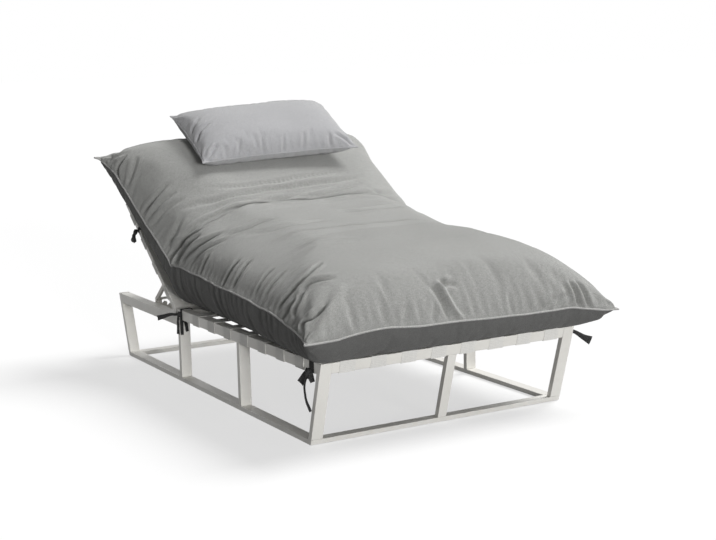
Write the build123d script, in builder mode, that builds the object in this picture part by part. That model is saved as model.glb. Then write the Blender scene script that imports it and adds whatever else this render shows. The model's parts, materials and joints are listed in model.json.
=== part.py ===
from build123d import *
import os
from math import cos, radians, sin

# A double chaise lounger: a welded flat-tube base with leaning end frames, a webbed seat,
# a webbed backrest that folds on two pins, a swinging stay that props the backrest on
# toothed racks, one long soft cushion tied to the frame, and a loose head pillow.
# Millimetres. X runs across, Y from the foot end to the head end, Z up from the floor.

# Driving dimensions of the frame
frame_width = 1200.0
frame_length = 2130.0
deck_height = 340.0
back_step = 34.0
seat_length = 1351.0
foot_inset = 103.0
mid_post_place = 720.0
rail_width = 50.0
rail_height = 45.0
bar_depth = 25.0
base_rail_height = 20.0
centre_post_width = 40.0
tube_wall = 2.5
glide_height = 2.0
glide_radius = 16.0
glide_setback = 30.0

# Driving dimensions of the webbing
strap_width = 70.0
strap_thickness = 2.0
strap_layer_gap = 0.3
strap_ramp = 15.0
strap_margin = 1.0
strap_lip = 38.0
long_strap_side_gap = 7.0
seat_cross_strap_count = 7
long_strap_count = 8
back_cross_strap_count = 4

# Driving dimensions of the backrest and its stay
recline_rest = 38.6
recline_upright = 68.0
recline_stops = (25.0, 38.6, 50.0, 60.0, 68.0)
hinge_setback = 44.0
back_length = 726.0
back_tail = 4.0
end_bar_width = 40.0
end_bar_place = 20.0
fold_flat_gap = 0.5
stay_length = 242.0
stay_thickness = 12.0
stay_half_height = 10.0
foot_bar_radius = 7.0
spacer_length = 6.0
pin_radius = 5.0
pin_play = 0.05
side_play = 0.3
pin_head_radius = 9.0
pin_head_length = 5.0
boss_radius = 12.0
bracket_thickness = 6.0
bracket_eye_radius = 13.0
bracket_root_low = 4.0
bracket_setin_width = 19.0
rack_thickness = 5.0
rack_setin_width = 40.0
rack_flange_thickness = 4.0
rack_depth = 28.0
notch_depth = 15.0
notch_room_width = 1.0
tooth_ramp_length = 30.0
rack_end_margin = 26.0
cap_thickness = 3.0

# Driving dimensions of the cushion, the pillow and the ties
cushion_width = 1360.0
cushion_foot_overhang = 110.0
cushion_head_overhang = 204.0
seat_crown_height = 437.0
back_crown_height = 403.0
fold_crown_height = 524.0
fold_seam_height = 248.0
soft_gap = 0.3
pillow_width = 776.0
pillow_length = 436.0
pillow_height = 168.0
tie_width = 18.0
tie_thickness = 1.5
tie_gap = 0.4
tie_place_front = 62.0
tie_setback_hinge = 61.0
tie_tail_length = 130.0
tie_side_tail_length = 90.0
tie_tail_gap = 4.0
knot_width = 26.0
knot_height = 24.0
knot_depth = 14.0
knot_round = 5.0

# Shares that place the cross straps along the seat and the backrest
first_cross_strap_share = 0.128
seat_pitch_share = 0.1221
back_pitch_share = 0.2273

# Shares that give the soft forms their place and outline, chosen by hand
shoulder_share = 0.7
shoulder_height_share = 0.912
pillow_place_share = 0.923
pillow_base_share = 0.9475
tie_place_back_share = 0.741
# front overhang share, seat length share, half width, seam, crown, base and contact shares
seat_station_shares = (
    (1.00, 0.000, 1.070, 0.195, 0.212, 0.178, 0.824),
    (0.77, 0.000, 1.053, 0.200, 0.386, 0.090, 0.860),
    (0.27, 0.000, 1.032, 0.227, 0.580, 0.010, 0.874),
    (0.00, 0.044, 1.017, 0.276, 0.714, 0.000, 0.881),
    (0.00, 0.141, 1.005, 0.330, 0.790, 0.000, 0.876),
    (0.00, 0.259, 0.996, 0.377, 0.842, 0.000, 0.844),
    (0.00, 0.385, 0.987, 0.395, 0.888, 0.000, 0.805),
    (0.00, 0.518, 0.980, 0.412, 0.930, 0.000, 0.757),
    (0.00, 0.651, 0.972, 0.426, 0.972, 0.000, 0.718),
    (0.00, 0.785, 0.966, 0.436, 1.010, 0.000, 0.690),
    (0.00, 0.918, 0.964, 0.442, 1.020, 0.000, 0.690),
    (0.00, 1.060, 0.963, 0.446, 1.022, 0.000, 0.690),
)
# back length share, head overhang share, half width, seam, crown, base and contact shares
back_station_shares = (
    (-0.320, 0.00, 0.963, 0.495, 1.078, 0.000, 0.690),
    (-0.083, 0.00, 0.964, 0.495, 1.078, 0.000, 0.690),
    (0.152, 0.00, 0.967, 0.488, 1.076, 0.000, 0.690),
    (0.372, 0.00, 0.974, 0.455, 1.068, 0.000, 0.694),
    (0.579, 0.00, 0.984, 0.398, 1.042, 0.000, 0.735),
    (0.771, 0.00, 0.994, 0.378, 0.980, 0.000, 0.758),
    (0.944, 0.00, 1.004, 0.368, 0.904, 0.000, 0.784),
    (1.000, 0.31, 1.018, 0.350, 0.812, 0.007, 0.794),
    (1.000, 0.68, 1.035, 0.318, 0.632, 0.082, 0.794),
    (1.000, 0.90, 1.056, 0.294, 0.440, 0.208, 0.796),
    (1.000, 1.00, 1.070, 0.290, 0.312, 0.268, 0.824),
)
# length, half width, seam, crown, base and contact shares of the pillow
pillow_station_shares = (
    (-0.50, 1.03, 0.43, 0.47, 0.39, 0.85),
    (-0.43, 1.01, 0.43, 0.72, 0.14, 0.80),
    (-0.25, 1.00, 0.43, 0.93, 0.00, 0.72),
    (0.00, 0.99, 0.43, 1.00, 0.00, 0.70),
    (0.25, 1.00, 0.43, 0.93, 0.00, 0.72),
    (0.43, 1.01, 0.43, 0.72, 0.14, 0.80),
    (0.50, 1.03, 0.43, 0.47, 0.39, 0.85),
)

# Places that follow from the driving dimensions
half_width = frame_width / 2
rail_inner = half_width - rail_width
front_y = -(frame_length - cushion_foot_overhang) / 2
rear_y = front_y + frame_length
seat_rear_y = front_y + seat_length
rail_bottom = deck_height - rail_height
rear_rail_top = deck_height - back_step
rear_rail_bottom = rear_rail_top - rail_height
base_top = glide_height + base_rail_height
front_lean = foot_inset / deck_height
rear_lean = foot_inset / rear_rail_top
hinge_y = seat_rear_y + hinge_setback
hinge_z = rear_rail_top + strap_thickness + fold_flat_gap + bar_depth / 2
strap_lift = strap_thickness + strap_layer_gap
web_height = strap_thickness + strap_lift
fold_half = recline_upright / 2

# Working planes: the base seen from its side, the backrest seen from its side and the stay
side_plane = Plane.YZ
rest_turn = radians(recline_rest)
hinge_point = Vector(0, hinge_y, hinge_z)
back_along = Vector(0, cos(rest_turn), sin(rest_turn))
back_up = Vector(0, -sin(rest_turn), cos(rest_turn))
back_side = Plane(origin=hinge_point, x_dir=back_along, z_dir=(1, 0, 0))
stay_point = hinge_point + back_along * stay_length
stay_side = Plane(
    origin=stay_point, x_dir=(0, cos(rest_turn), -sin(rest_turn)), z_dir=(1, 0, 0)
)


def front_edge(z):
    """Y of the leaning front face at a height above the floor."""
    return front_y + front_lean * (deck_height - z)


def rear_edge(z):
    """Y of the leaning rear face at a height above the floor."""
    return rear_y - rear_lean * (rear_rail_top - z)


def finish(part, name):
    """Label one finished piece and write it to its own file."""
    part.label = name
    export_step(part, f"parts/{name}.step")


def bar(plane, low, high, outer, inner=None):
    """A flat bar or tube: a side outline drawn on a plane and carried from low to high."""
    with BuildPart() as piece:
        with BuildSketch(plane.offset(low)):
            with BuildLine():
                Polyline(*outer, close=True)
            make_face()
        extrude(amount=high - low)
        if inner:
            with BuildSketch(plane.offset(low + tube_wall)):
                with BuildLine():
                    Polyline(*inner, close=True)
                make_face()
            extrude(amount=high - low - 2 * tube_wall, mode=Mode.SUBTRACT)
    return piece.part


def level_tube(plane, low, high, start_top, end_top, start_bottom, end_bottom, top, bottom):
    """A lengthwise tube with open ends that may be cut at a slant."""
    outer = [(start_top, top), (end_top, top), (end_bottom, bottom), (start_bottom, bottom)]
    slope_start = (start_bottom - start_top) * tube_wall / (top - bottom)
    slope_end = (end_bottom - end_top) * tube_wall / (top - bottom)
    inner = [
        (start_top + slope_start, top - tube_wall),
        (end_top + slope_end, top - tube_wall),
        (end_bottom - slope_end, bottom + tube_wall),
        (start_bottom - slope_start, bottom + tube_wall),
    ]
    return bar(plane, low, high, outer, inner)


def upright_tube(low, high, near_edge, far_edge, top, bottom):
    """An upright or leaning tube between two edge functions of height, with open ends."""
    outer = [(near_edge(top), top), (far_edge(top), top), (far_edge(bottom), bottom),
             (near_edge(bottom), bottom)]
    inner = [
        (near_edge(top) + tube_wall, top),
        (far_edge(top) - tube_wall, top),
        (far_edge(bottom) - tube_wall, bottom),
        (near_edge(bottom) + tube_wall, bottom),
    ]
    return bar(side_plane, low, high, outer, inner)


def cross_tube(plane, corners, hollow):
    """A tube that runs across the lounger between the side tubes, with open ends."""
    with BuildPart() as piece:
        with BuildSketch(plane.offset(-rail_inner)):
            with BuildLine():
                Polyline(*corners, close=True)
            make_face()
            with BuildLine():
                Polyline(*hollow, close=True)
            make_face(mode=Mode.SUBTRACT)
        extrude(amount=2 * rail_inner)
    return piece.part


def box_corners(y_low, y_high, z_low, z_high):
    """The four corners of an upright rectangle seen from the side."""
    return [(y_low, z_low), (y_high, z_low), (y_high, z_high), (y_low, z_high)]


def both_sides(make, name):
    """Make one piece on the right and its mirror image on the left."""
    right = make()
    finish(right, f"right_{name}")
    finish(mirror(right, about=Plane.YZ), f"left_{name}")


os.makedirs("parts", exist_ok=True)


# Base frame: rails of the seat
def seat_side_rail():
    low_front = front_edge(rail_bottom) + bar_depth
    return level_tube(
        side_plane, rail_inner, half_width,
        front_y + bar_depth, seat_rear_y, low_front, seat_rear_y,
        deck_height, rail_bottom,
    )


both_sides(seat_side_rail, "seat_side_rail")

front_outline = [
    (front_y, deck_height),
    (front_y + rail_width, deck_height),
    (front_y + rail_width, rail_bottom),
    (front_edge(rail_bottom), rail_bottom),
]
front_hollow = [
    (front_edge(deck_height - tube_wall) + tube_wall, deck_height - tube_wall),
    (front_y + rail_width - tube_wall, deck_height - tube_wall),
    (front_y + rail_width - tube_wall, rail_bottom + tube_wall),
    (front_edge(rail_bottom + tube_wall) + tube_wall, rail_bottom + tube_wall),
]
finish(cross_tube(side_plane, front_outline, front_hollow), "seat_front_rail")

hinge_tube_front = seat_rear_y - rail_width
hinge_tube = cross_tube(
    side_plane,
    box_corners(hinge_tube_front, seat_rear_y, rail_bottom, deck_height),
    box_corners(hinge_tube_front + tube_wall, seat_rear_y - tube_wall,
                rail_bottom + tube_wall, deck_height - tube_wall),
)
finish(hinge_tube, "seat_hinge_tube")


# Base frame: rails under the backrest, one step lower than the seat
def rear_side_rail():
    return level_tube(
        side_plane, rail_inner, half_width,
        seat_rear_y + bar_depth, rear_y - bar_depth,
        seat_rear_y + bar_depth, rear_edge(rear_rail_bottom) - bar_depth,
        rear_rail_top, rear_rail_bottom,
    )


both_sides(rear_side_rail, "rear_side_rail")


# Base frame: legs and posts
def front_leg():
    return upright_tube(
        rail_inner, half_width, front_edge, lambda z: front_edge(z) + bar_depth,
        deck_height, base_top,
    )


def rear_leg():
    return upright_tube(
        rail_inner, half_width, lambda z: rear_edge(z) - bar_depth, rear_edge,
        rear_rail_top, base_top,
    )


def mid_post():
    post_y = front_y + mid_post_place
    return upright_tube(
        rail_inner, half_width, lambda z: post_y, lambda z: post_y + bar_depth,
        rail_bottom, base_top,
    )


def hinge_post():
    return upright_tube(
        rail_inner, half_width, lambda z: seat_rear_y, lambda z: seat_rear_y + bar_depth,
        deck_height, base_top,
    )


both_sides(front_leg, "front_leg")
both_sides(rear_leg, "rear_leg")
both_sides(mid_post, "mid_post")
both_sides(hinge_post, "hinge_post")
centre_post = upright_tube(
    -centre_post_width / 2, centre_post_width / 2,
    front_edge, lambda z: front_edge(z) + bar_depth, rail_bottom, base_top,
)
finish(centre_post, "front_centre_post")

# Base frame: the floor rails, flush with the leaning faces
foot_front = front_edge(base_top)
foot_rear = rear_edge(base_top)


def floor_cross_rail(outer_edge, way):
    """A floor rail across the lounger whose outer face carries on the lean of the legs."""
    inner_y = outer_edge(base_top) + way * rail_width
    shell = way * tube_wall
    corners = [
        (outer_edge(base_top), base_top),
        (inner_y, base_top),
        (inner_y, glide_height),
        (outer_edge(glide_height), glide_height),
    ]
    hollow = [
        (outer_edge(base_top - tube_wall) + shell, base_top - tube_wall),
        (inner_y - shell, base_top - tube_wall),
        (inner_y - shell, glide_height + tube_wall),
        (outer_edge(glide_height + tube_wall) + shell, glide_height + tube_wall),
    ]
    return bar(side_plane, -half_width, half_width, corners, hollow)


finish(floor_cross_rail(front_edge, 1), "front_floor_rail")
finish(floor_cross_rail(rear_edge, -1), "rear_floor_rail")


def side_floor_rail():
    start = foot_front + rail_width
    end = foot_rear - rail_width
    return level_tube(
        side_plane, rail_inner, half_width, start, end, start, end, base_top, glide_height
    )


both_sides(side_floor_rail, "side_floor_rail")

glide_x = half_width - rail_width / 2
glide_rows = (
    foot_front + glide_setback,
    front_y + mid_post_place + bar_depth / 2,
    foot_rear - glide_setback,
)
with BuildPart() as floor_glides:
    with BuildSketch():
        with Locations(*[(side * glide_x, y) for side in (-1, 1) for y in glide_rows]):
            Circle(glide_radius)
    extrude(amount=glide_height)
finish(floor_glides.part, "floor_glides")


# Webbing: flat straps wound on the rails and woven over and under each other
def woven_heights(crossings, starts_over):
    """Places and lift of a strap where it passes over every second crossing strap."""
    points = []
    for index, place in enumerate(crossings):
        if (index % 2 == 0) == starts_over:
            flat = strap_width / 2 + strap_margin
            points.append((place - flat - strap_ramp, 0))
            points.append((place - flat, strap_lift))
            points.append((place + flat, strap_lift))
            points.append((place + flat + strap_ramp, 0))
    return points


def strap_outline(plane, wrap_low, wrap_high, top, crossings, starts_over):
    """One strap from its edge: a lip under a rail, up, across with its weave, down, a lip."""
    weave = woven_heights(crossings, starts_over)
    under = [(place, top + lift) for place, lift in weave]
    over = [(place, height + strap_thickness) for place, height in under]
    inner = wrap_low + under + wrap_high
    low_lip, low_corner, low_top = wrap_low
    high_top, high_corner, high_lip = wrap_high
    t = strap_thickness
    outer = [
        (high_lip[0], high_lip[1] - t),
        (high_corner[0] + t, high_corner[1] - t),
        (high_top[0] + t, high_top[1] + t),
        *reversed(over),
        (low_top[0] - t, low_top[1] + t),
        (low_corner[0] - t, low_corner[1] - t),
        (low_lip[0], low_lip[1] - t),
    ]
    with BuildSketch(plane) as edge_on:
        with BuildLine():
            Polyline(*inner, *outer, close=True)
        make_face()
    return edge_on.sketch


# The outer long straps lie beside the hinge brackets, and the others evenly between them
bracket_inner = rail_inner - bracket_setin_width - bracket_thickness
outer_long_place = bracket_inner - long_strap_side_gap - strap_width / 2
long_places = [
    (2 * index / (long_strap_count - 1) - 1) * outer_long_place
    for index in range(long_strap_count)
]
seat_cross_places = [
    front_y + (first_cross_strap_share + index * seat_pitch_share) * seat_length
    for index in range(seat_cross_strap_count)
]
back_open_middle = (end_bar_place + end_bar_width + back_length - end_bar_width) / 2
back_cross_places = [
    back_open_middle + (index - (back_cross_strap_count - 1) / 2) * back_pitch_share * back_length
    for index in range(back_cross_strap_count)
]


def cross_wraps(top, bottom):
    """Where a cross strap turns round the left and the right side tube."""
    low = [(strap_lip - half_width, bottom), (-half_width, bottom), (-half_width, top)]
    high = [(half_width, top), (half_width, bottom), (half_width - strap_lip, bottom)]
    return low, high


with BuildPart() as seat_cross_straps:
    for row, place in enumerate(seat_cross_places):
        wraps = cross_wraps(deck_height, rail_bottom)
        section = Plane.XZ.offset(-place)
        extrude(
            strap_outline(section, *wraps, deck_height, long_places, row % 2 == 0),
            amount=strap_width / 2, both=True,
        )
finish(seat_cross_straps.part, "seat_cross_straps")

with BuildPart() as seat_long_straps:
    front_wrap = [
        (front_y + strap_lip, rail_bottom),
        (front_edge(rail_bottom), rail_bottom),
        (front_y, deck_height),
    ]
    hinge_wrap = [
        (seat_rear_y, deck_height),
        (seat_rear_y, rail_bottom),
        (seat_rear_y - strap_lip, rail_bottom),
    ]
    for column, place in enumerate(long_places):
        section = side_plane.offset(place)
        extrude(
            strap_outline(section, front_wrap, hinge_wrap, deck_height, seat_cross_places,
                          column % 2 == 1),
            amount=strap_width / 2, both=True,
        )
finish(seat_long_straps.part, "seat_long_straps")

back_top = bar_depth / 2
with BuildPart() as back_cross_straps:
    for row, place in enumerate(back_cross_places):
        section = Plane(
            origin=hinge_point + back_along * place, x_dir=(1, 0, 0), z_dir=back_along * -1
        )
        wraps = cross_wraps(back_top, -back_top)
        extrude(
            strap_outline(section, *wraps, back_top, long_places, row % 2 == 0),
            amount=strap_width / 2, both=True,
        )
finish(back_cross_straps.part, "back_cross_straps")

with BuildPart() as back_long_straps:
    low_wrap = [
        (end_bar_place + strap_lip, -back_top),
        (end_bar_place, -back_top),
        (end_bar_place, back_top),
    ]
    high_wrap = [
        (back_length, back_top),
        (back_length, -back_top),
        (back_length - strap_lip, -back_top),
    ]
    for column, place in enumerate(long_places):
        extrude(
            strap_outline(back_side.offset(place), low_wrap, high_wrap, back_top,
                          back_cross_places, column % 2 == 1),
            amount=strap_width / 2, both=True,
        )
finish(back_long_straps.part, "back_long_straps")


# Backrest frame
def back_side_tube():
    return level_tube(
        back_side, rail_inner, half_width,
        -back_tail, back_length, -back_tail, back_length, back_top, -back_top,
    )


def end_bar(start):
    """One of the two tubes that cross the backrest frame."""
    end = start + end_bar_width
    return cross_tube(
        back_side,
        box_corners(start, end, -back_top, back_top),
        box_corners(start + tube_wall, end - tube_wall, tube_wall - back_top,
                    back_top - tube_wall),
    )


both_sides(back_side_tube, "back_side_tube")
finish(end_bar(end_bar_place), "back_lower_bar")
finish(end_bar(back_length - end_bar_width), "back_head_bar")

cap_places = (-back_tail - cap_thickness, back_length)
with BuildPart() as back_tube_caps:
    for side in (-1, 1):
        for place in cap_places:
            middle = side * (half_width - rail_width / 2)
            with BuildSketch(back_side.offset(middle)):
                with Locations((place + cap_thickness / 2, 0)):
                    Rectangle(cap_thickness, bar_depth)
            extrude(amount=rail_width / 2, both=True)
finish(back_tube_caps.part, "back_tube_caps")

# Backrest hinge: a bracket on the seat's hinge tube, a pin and a boss on the side tube
bracket_outer = rail_inner - bracket_setin_width
bore_radius = pin_radius + pin_play


def hinge_bracket():
    outline = [
        (seat_rear_y, rail_bottom + bracket_root_low),
        (seat_rear_y, deck_height - bracket_root_low),
        (hinge_y, hinge_z + bracket_eye_radius),
        (hinge_y, hinge_z - bracket_eye_radius),
    ]
    with BuildPart() as piece:
        with BuildSketch(side_plane.offset(bracket_inner)):
            with BuildLine():
                Polyline(*outline, close=True)
            make_face()
            with Locations((hinge_y, hinge_z)):
                Circle(bracket_eye_radius)
                Circle(bore_radius, mode=Mode.SUBTRACT)
        extrude(amount=bracket_thickness)
    return piece.part


def hinge_pin():
    with BuildPart() as piece:
        with BuildSketch(back_side.offset(bracket_inner - pin_head_length)):
            Circle(pin_head_radius)
        extrude(amount=pin_head_length)
        with BuildSketch(back_side.offset(bracket_inner)):
            Circle(pin_radius)
        extrude(amount=rail_inner - side_play - bracket_inner)
    return piece.part


def hinge_boss():
    with BuildPart() as piece:
        with BuildSketch(back_side.offset(bracket_outer + side_play)):
            Circle(boss_radius)
            Circle(bore_radius, mode=Mode.SUBTRACT)
        extrude(amount=rail_inner - bracket_outer - side_play)
    return piece.part


both_sides(hinge_bracket, "hinge_bracket")
both_sides(hinge_pin, "hinge_pin")
both_sides(hinge_boss, "hinge_boss")

# Stay: two flat arms on shoulder bolts, joined at the foot by a round bar
arm_outer = rail_inner - spacer_length - side_play
arm_inner = arm_outer - stay_thickness


def stay_bolt():
    middle = (stay_length, 0)
    head_face = arm_inner - side_play
    with BuildPart() as piece:
        with BuildSketch(back_side.offset(head_face - pin_head_length)):
            with Locations(middle):
                Circle(pin_head_radius)
        extrude(amount=pin_head_length)
        with BuildSketch(back_side.offset(head_face)):
            with Locations(middle):
                Circle(pin_radius)
        extrude(amount=rail_inner - head_face)
        with BuildSketch(back_side.offset(rail_inner - spacer_length)):
            with Locations(middle):
                Circle(boss_radius)
        extrude(amount=spacer_length)
    return piece.part


def stay_arm():
    with BuildPart() as piece:
        with BuildSketch(stay_side.offset(arm_inner)):
            with Locations((stay_length / 2, 0)):
                SlotCenterToCenter(stay_length, 2 * stay_half_height)
            Circle(bore_radius, mode=Mode.SUBTRACT)
        extrude(amount=stay_thickness)
    return piece.part


both_sides(stay_bolt, "stay_bolt")
both_sides(stay_arm, "stay_arm")
with BuildPart() as foot_bar:
    with BuildSketch(stay_side):
        with Locations((stay_length, 0)):
            Circle(foot_bar_radius)
    extrude(amount=arm_inner, both=True)
finish(foot_bar.part, "stay_foot_bar")

# Racks: a toothed plate on each rear rail, just under the level path of the foot bar
rack_tip = hinge_z - foot_bar_radius - side_play
rack_low = rack_tip - rack_depth
rack_inner = rail_inner - rack_setin_width
notch_places = [hinge_y + 2 * stay_length * cos(radians(stop)) for stop in recline_stops]
rack_start = min(notch_places) - tooth_ramp_length - rack_end_margin
rack_end = max(notch_places) + rack_end_margin


def rack():
    wall = foot_bar_radius + notch_room_width
    outline = [(rack_start, rack_low), (rack_end, rack_low), (rack_end, rack_tip)]
    for place in sorted(notch_places, reverse=True):
        outline.append((place + wall, rack_tip))
        outline.append((place + wall, rack_tip - notch_depth))
        outline.append((place - wall / 2, rack_tip - notch_depth))
        outline.append((place - tooth_ramp_length, rack_tip))
    outline.append((rack_start, rack_tip))
    with BuildPart() as piece:
        with BuildSketch(side_plane.offset(rack_inner)):
            with BuildLine():
                Polyline(*outline, close=True)
            make_face()
        extrude(amount=rack_thickness)
        with BuildSketch(side_plane.offset(rack_inner)):
            with Locations(((rack_start + rack_end) / 2, rack_low + rack_flange_thickness / 2)):
                Rectangle(rack_end - rack_start, rack_flange_thickness)
        extrude(amount=rack_setin_width)
    return piece.part


both_sides(rack, "rack")

# Cushion: crowned, drawn in along its sides, with corners that stand out, in three parts.
# The middle part fills the fold at the hinge. All three together are one soft cushion.
cushion_half = cushion_width / 2
seat_base = deck_height + web_height + soft_gap
back_base = back_top + web_height + soft_gap


def soft_section(plane, half, seam, crown, base, contact):
    """One cross section: a crowned top, a seam at each side and a base that curls up to it."""
    shoulder = half * shoulder_share
    rise = seam + (crown - seam) * shoulder_height_share
    rest = half * contact
    with BuildSketch(plane) as section:
        with BuildLine():
            top = ThreePointArc((-shoulder, rise), (0, crown), (shoulder, rise))
            TangentArc((shoulder, rise), (half, seam), tangent=top % 1)
            TangentArc((-shoulder, rise), (-half, seam), tangent=(top % 0) * -1)
            Line((-rest, base), (rest, base))
            TangentArc((rest, base), (half, seam), tangent=(1, 0))
            TangentArc((-rest, base), (-half, seam), tangent=(-1, 0))
        make_face()
    return section.sketch


def across(place):
    """The plane across the backrest at a distance from its hinge."""
    return Plane(
        origin=hinge_point + back_along * place, x_dir=(1, 0, 0), z_dir=back_along * -1
    )


def fan_plane(tilt):
    """A plane through the hinge line, tilted from upright towards the foot end."""
    turn = radians(tilt)
    return Plane(origin=hinge_point, x_dir=(1, 0, 0), z_dir=(0, -cos(turn), -sin(turn)))


seat_fold = fan_plane(fold_half)
back_fold = fan_plane(recline_rest - fold_half)

seat_sections = [
    soft_section(
        Plane.XZ.offset(overhang * cushion_foot_overhang - along * seat_length - front_y),
        wide * cushion_half, seat_base + seam * seat_crown_height,
        seat_base + crown * seat_crown_height, seat_base + base * seat_crown_height, contact,
    )
    for overhang, along, wide, seam, crown, base, contact in seat_station_shares
]
with BuildPart() as cushion_seat_part:
    loft(seat_sections)
    split(bisect_by=Plane.XY.offset(seat_base), keep=Keep.TOP)
    split(bisect_by=seat_fold.offset(soft_gap), keep=Keep.TOP)
finish(cushion_seat_part.part, "cushion_seat_part")

back_sections = [
    soft_section(
        across(along * back_length + overhang * cushion_head_overhang),
        wide * cushion_half, back_base + seam * back_crown_height,
        back_base + crown * back_crown_height, back_base + base * back_crown_height, contact,
    )
    for along, overhang, wide, seam, crown, base, contact in back_station_shares
]
with BuildPart() as cushion_back_part:
    loft(back_sections)
    split(bisect_by=across(0).rotated((-90, 0, 0)).offset(back_base), keep=Keep.TOP)
    split(bisect_by=back_fold.offset(-soft_gap), keep=Keep.BOTTOM)
finish(cushion_back_part.part, "cushion_back_part")

last_seat = seat_station_shares[-1]
first_back = back_station_shares[0]
fold_stretch = cos(radians(fold_half))


def fold_section(tilt, station, rise, height):
    """Where the fold meets the seat or the back part, measured out from the hinge."""
    wide, seam, crown, contact = station[2], station[3], station[4], station[6]
    return soft_section(
        fan_plane(tilt), wide * cushion_half, (rise + seam * height) / fold_stretch,
        (rise + crown * height) / fold_stretch, rise / fold_stretch, contact,
    )


seat_rise = seat_base - hinge_z
fold_middle = soft_section(
    fan_plane(recline_rest / 2), last_seat[2] * cushion_half, fold_seam_height, fold_crown_height,
    (seat_rise + back_base) / 2, last_seat[6],
)
with BuildPart() as cushion_fold:
    loft([
        fold_section(fold_half, last_seat, seat_rise, seat_crown_height),
        fold_middle,
        fold_section(recline_rest - fold_half, first_back, back_base, back_crown_height),
    ])
finish(cushion_fold.part, "cushion_fold")

# Pillow: lies on the crown of the back part, tilted back a little, one end lower
pillow_tilt = 11.0
pillow_lean = 3.0
pillow_half = pillow_width / 2
pillow_turn = radians(recline_rest - pillow_tilt)
pillow_along = Vector(0, cos(pillow_turn), sin(pillow_turn))
pillow_up = Vector(0, -sin(pillow_turn), cos(pillow_turn))
pillow_across = (
    Vector(1, 0, 0) * cos(radians(pillow_lean)) + pillow_up * sin(radians(pillow_lean))
)
pillow_middle = (
    hinge_point + back_along * (pillow_place_share * back_length)
    + back_up * (back_base + pillow_base_share * back_crown_height)
)
pillow_sections = [
    soft_section(
        Plane(
            origin=pillow_middle + pillow_along * (along * pillow_length),
            x_dir=pillow_across, z_dir=pillow_along * -1,
        ),
        wide * pillow_half, seam * pillow_height, crown * pillow_height,
        base * pillow_height, contact,
    )
    for along, wide, seam, crown, base, contact in pillow_station_shares
]
with BuildPart() as head_pillow:
    loft(pillow_sections)
finish(head_pillow.part, "head_pillow")


# Ties: a flat fabric band round a tube, a knot on its outer face and two hanging tails
def tie(plane, low, high, hang):
    """A tie on a plane across the tube: the band from low to high, the knot and its tails."""
    inner = rail_inner - tie_gap
    outer = half_width + tie_gap
    t = tie_thickness
    middle = (inner + outer) / 2
    knot_x = outer + t + knot_depth / 2
    knot_z = low + knot_height / 2
    with BuildPart() as piece:
        with BuildSketch(plane):
            with Locations((middle, (low + high) / 2)):
                Rectangle(outer - inner + 2 * t, high - low + 2 * (tie_gap + t))
                Rectangle(outer - inner, high - low + 2 * tie_gap, mode=Mode.SUBTRACT)
        extrude(amount=tie_width / 2, both=True)
        with BuildSketch(plane):
            with Locations((knot_x - t / 2, knot_z)):
                RectangleRounded(knot_depth + t, knot_height, knot_round)
        extrude(amount=knot_width / 2, both=True)
        with BuildSketch(plane):
            for side in (-1, 1):
                with Locations((knot_x + side * tie_tail_gap / 2, knot_z - hang / 2)):
                    Rectangle(tie_thickness, hang)
        extrude(amount=tie_width / 2, both=True)
    return piece.part


def front_tie():
    section = Plane.XZ.offset(-(front_y + tie_place_front))
    return tie(section, rail_bottom, deck_height, tie_tail_length)


def hinge_tie():
    section = Plane.XZ.offset(-(seat_rear_y - tie_setback_hinge))
    return tie(section, rail_bottom, deck_height, tie_side_tail_length)


def back_tie():
    return tie(across(tie_place_back_share * back_length), -back_top, back_top, tie_side_tail_length)


both_sides(front_tie, "front_tie")
both_sides(hinge_tie, "hinge_tie")
both_sides(back_tie, "back_tie")
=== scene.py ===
# %% [markdown]
# # A double chaise lounger
# The lounger has a pale flat-tube frame, a deck of woven straps, a backrest that tilts on a
# swinging stay, one deep soft cushion that folds at the hinge, and a loose head pillow.
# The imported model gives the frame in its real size. Here it gets its looks: paint, cloth,
# stitched seams, ties and the soft forms.

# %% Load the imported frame
import bpy
import json
import math
import numpy as np
from mathutils import Matrix, Vector


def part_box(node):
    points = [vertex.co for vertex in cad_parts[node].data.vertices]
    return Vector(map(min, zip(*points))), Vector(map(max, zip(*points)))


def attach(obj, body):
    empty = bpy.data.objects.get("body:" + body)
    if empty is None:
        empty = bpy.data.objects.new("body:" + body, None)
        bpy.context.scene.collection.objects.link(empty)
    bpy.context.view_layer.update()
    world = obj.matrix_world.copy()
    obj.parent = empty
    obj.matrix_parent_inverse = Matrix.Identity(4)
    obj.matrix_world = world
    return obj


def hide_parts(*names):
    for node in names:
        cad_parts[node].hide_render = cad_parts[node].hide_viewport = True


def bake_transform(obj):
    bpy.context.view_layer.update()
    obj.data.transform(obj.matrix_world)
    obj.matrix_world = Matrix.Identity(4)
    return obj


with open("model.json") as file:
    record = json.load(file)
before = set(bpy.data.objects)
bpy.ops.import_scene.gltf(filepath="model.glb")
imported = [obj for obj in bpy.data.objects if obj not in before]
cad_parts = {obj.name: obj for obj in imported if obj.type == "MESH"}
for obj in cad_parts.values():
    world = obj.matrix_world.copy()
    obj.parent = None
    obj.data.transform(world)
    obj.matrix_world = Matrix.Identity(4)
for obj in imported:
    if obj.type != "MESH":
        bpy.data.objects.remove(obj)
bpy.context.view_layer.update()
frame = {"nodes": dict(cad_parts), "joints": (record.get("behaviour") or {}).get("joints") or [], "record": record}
nodes = frame["nodes"]
scene = bpy.context.scene
bpy.ops.object.select_all(action="DESELECT")

# %% [markdown]
# ## Camera
# The photographer stood at the foot end, to the left, at about head height. The lens is a
# short telephoto. The straight tubes of the frame gave the place and the angles, and the
# three axes of the camera are written from its yaw, pitch and roll.

# %% Camera
CAMERA_PLACE = (-3.0077, -5.4913, 1.5262)
CAMERA_YAW, CAMERA_PITCH, CAMERA_ROLL = 29.900, 9.283, -1.354
LENS_MM, SENSOR_MM = 70.096, 36


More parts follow.
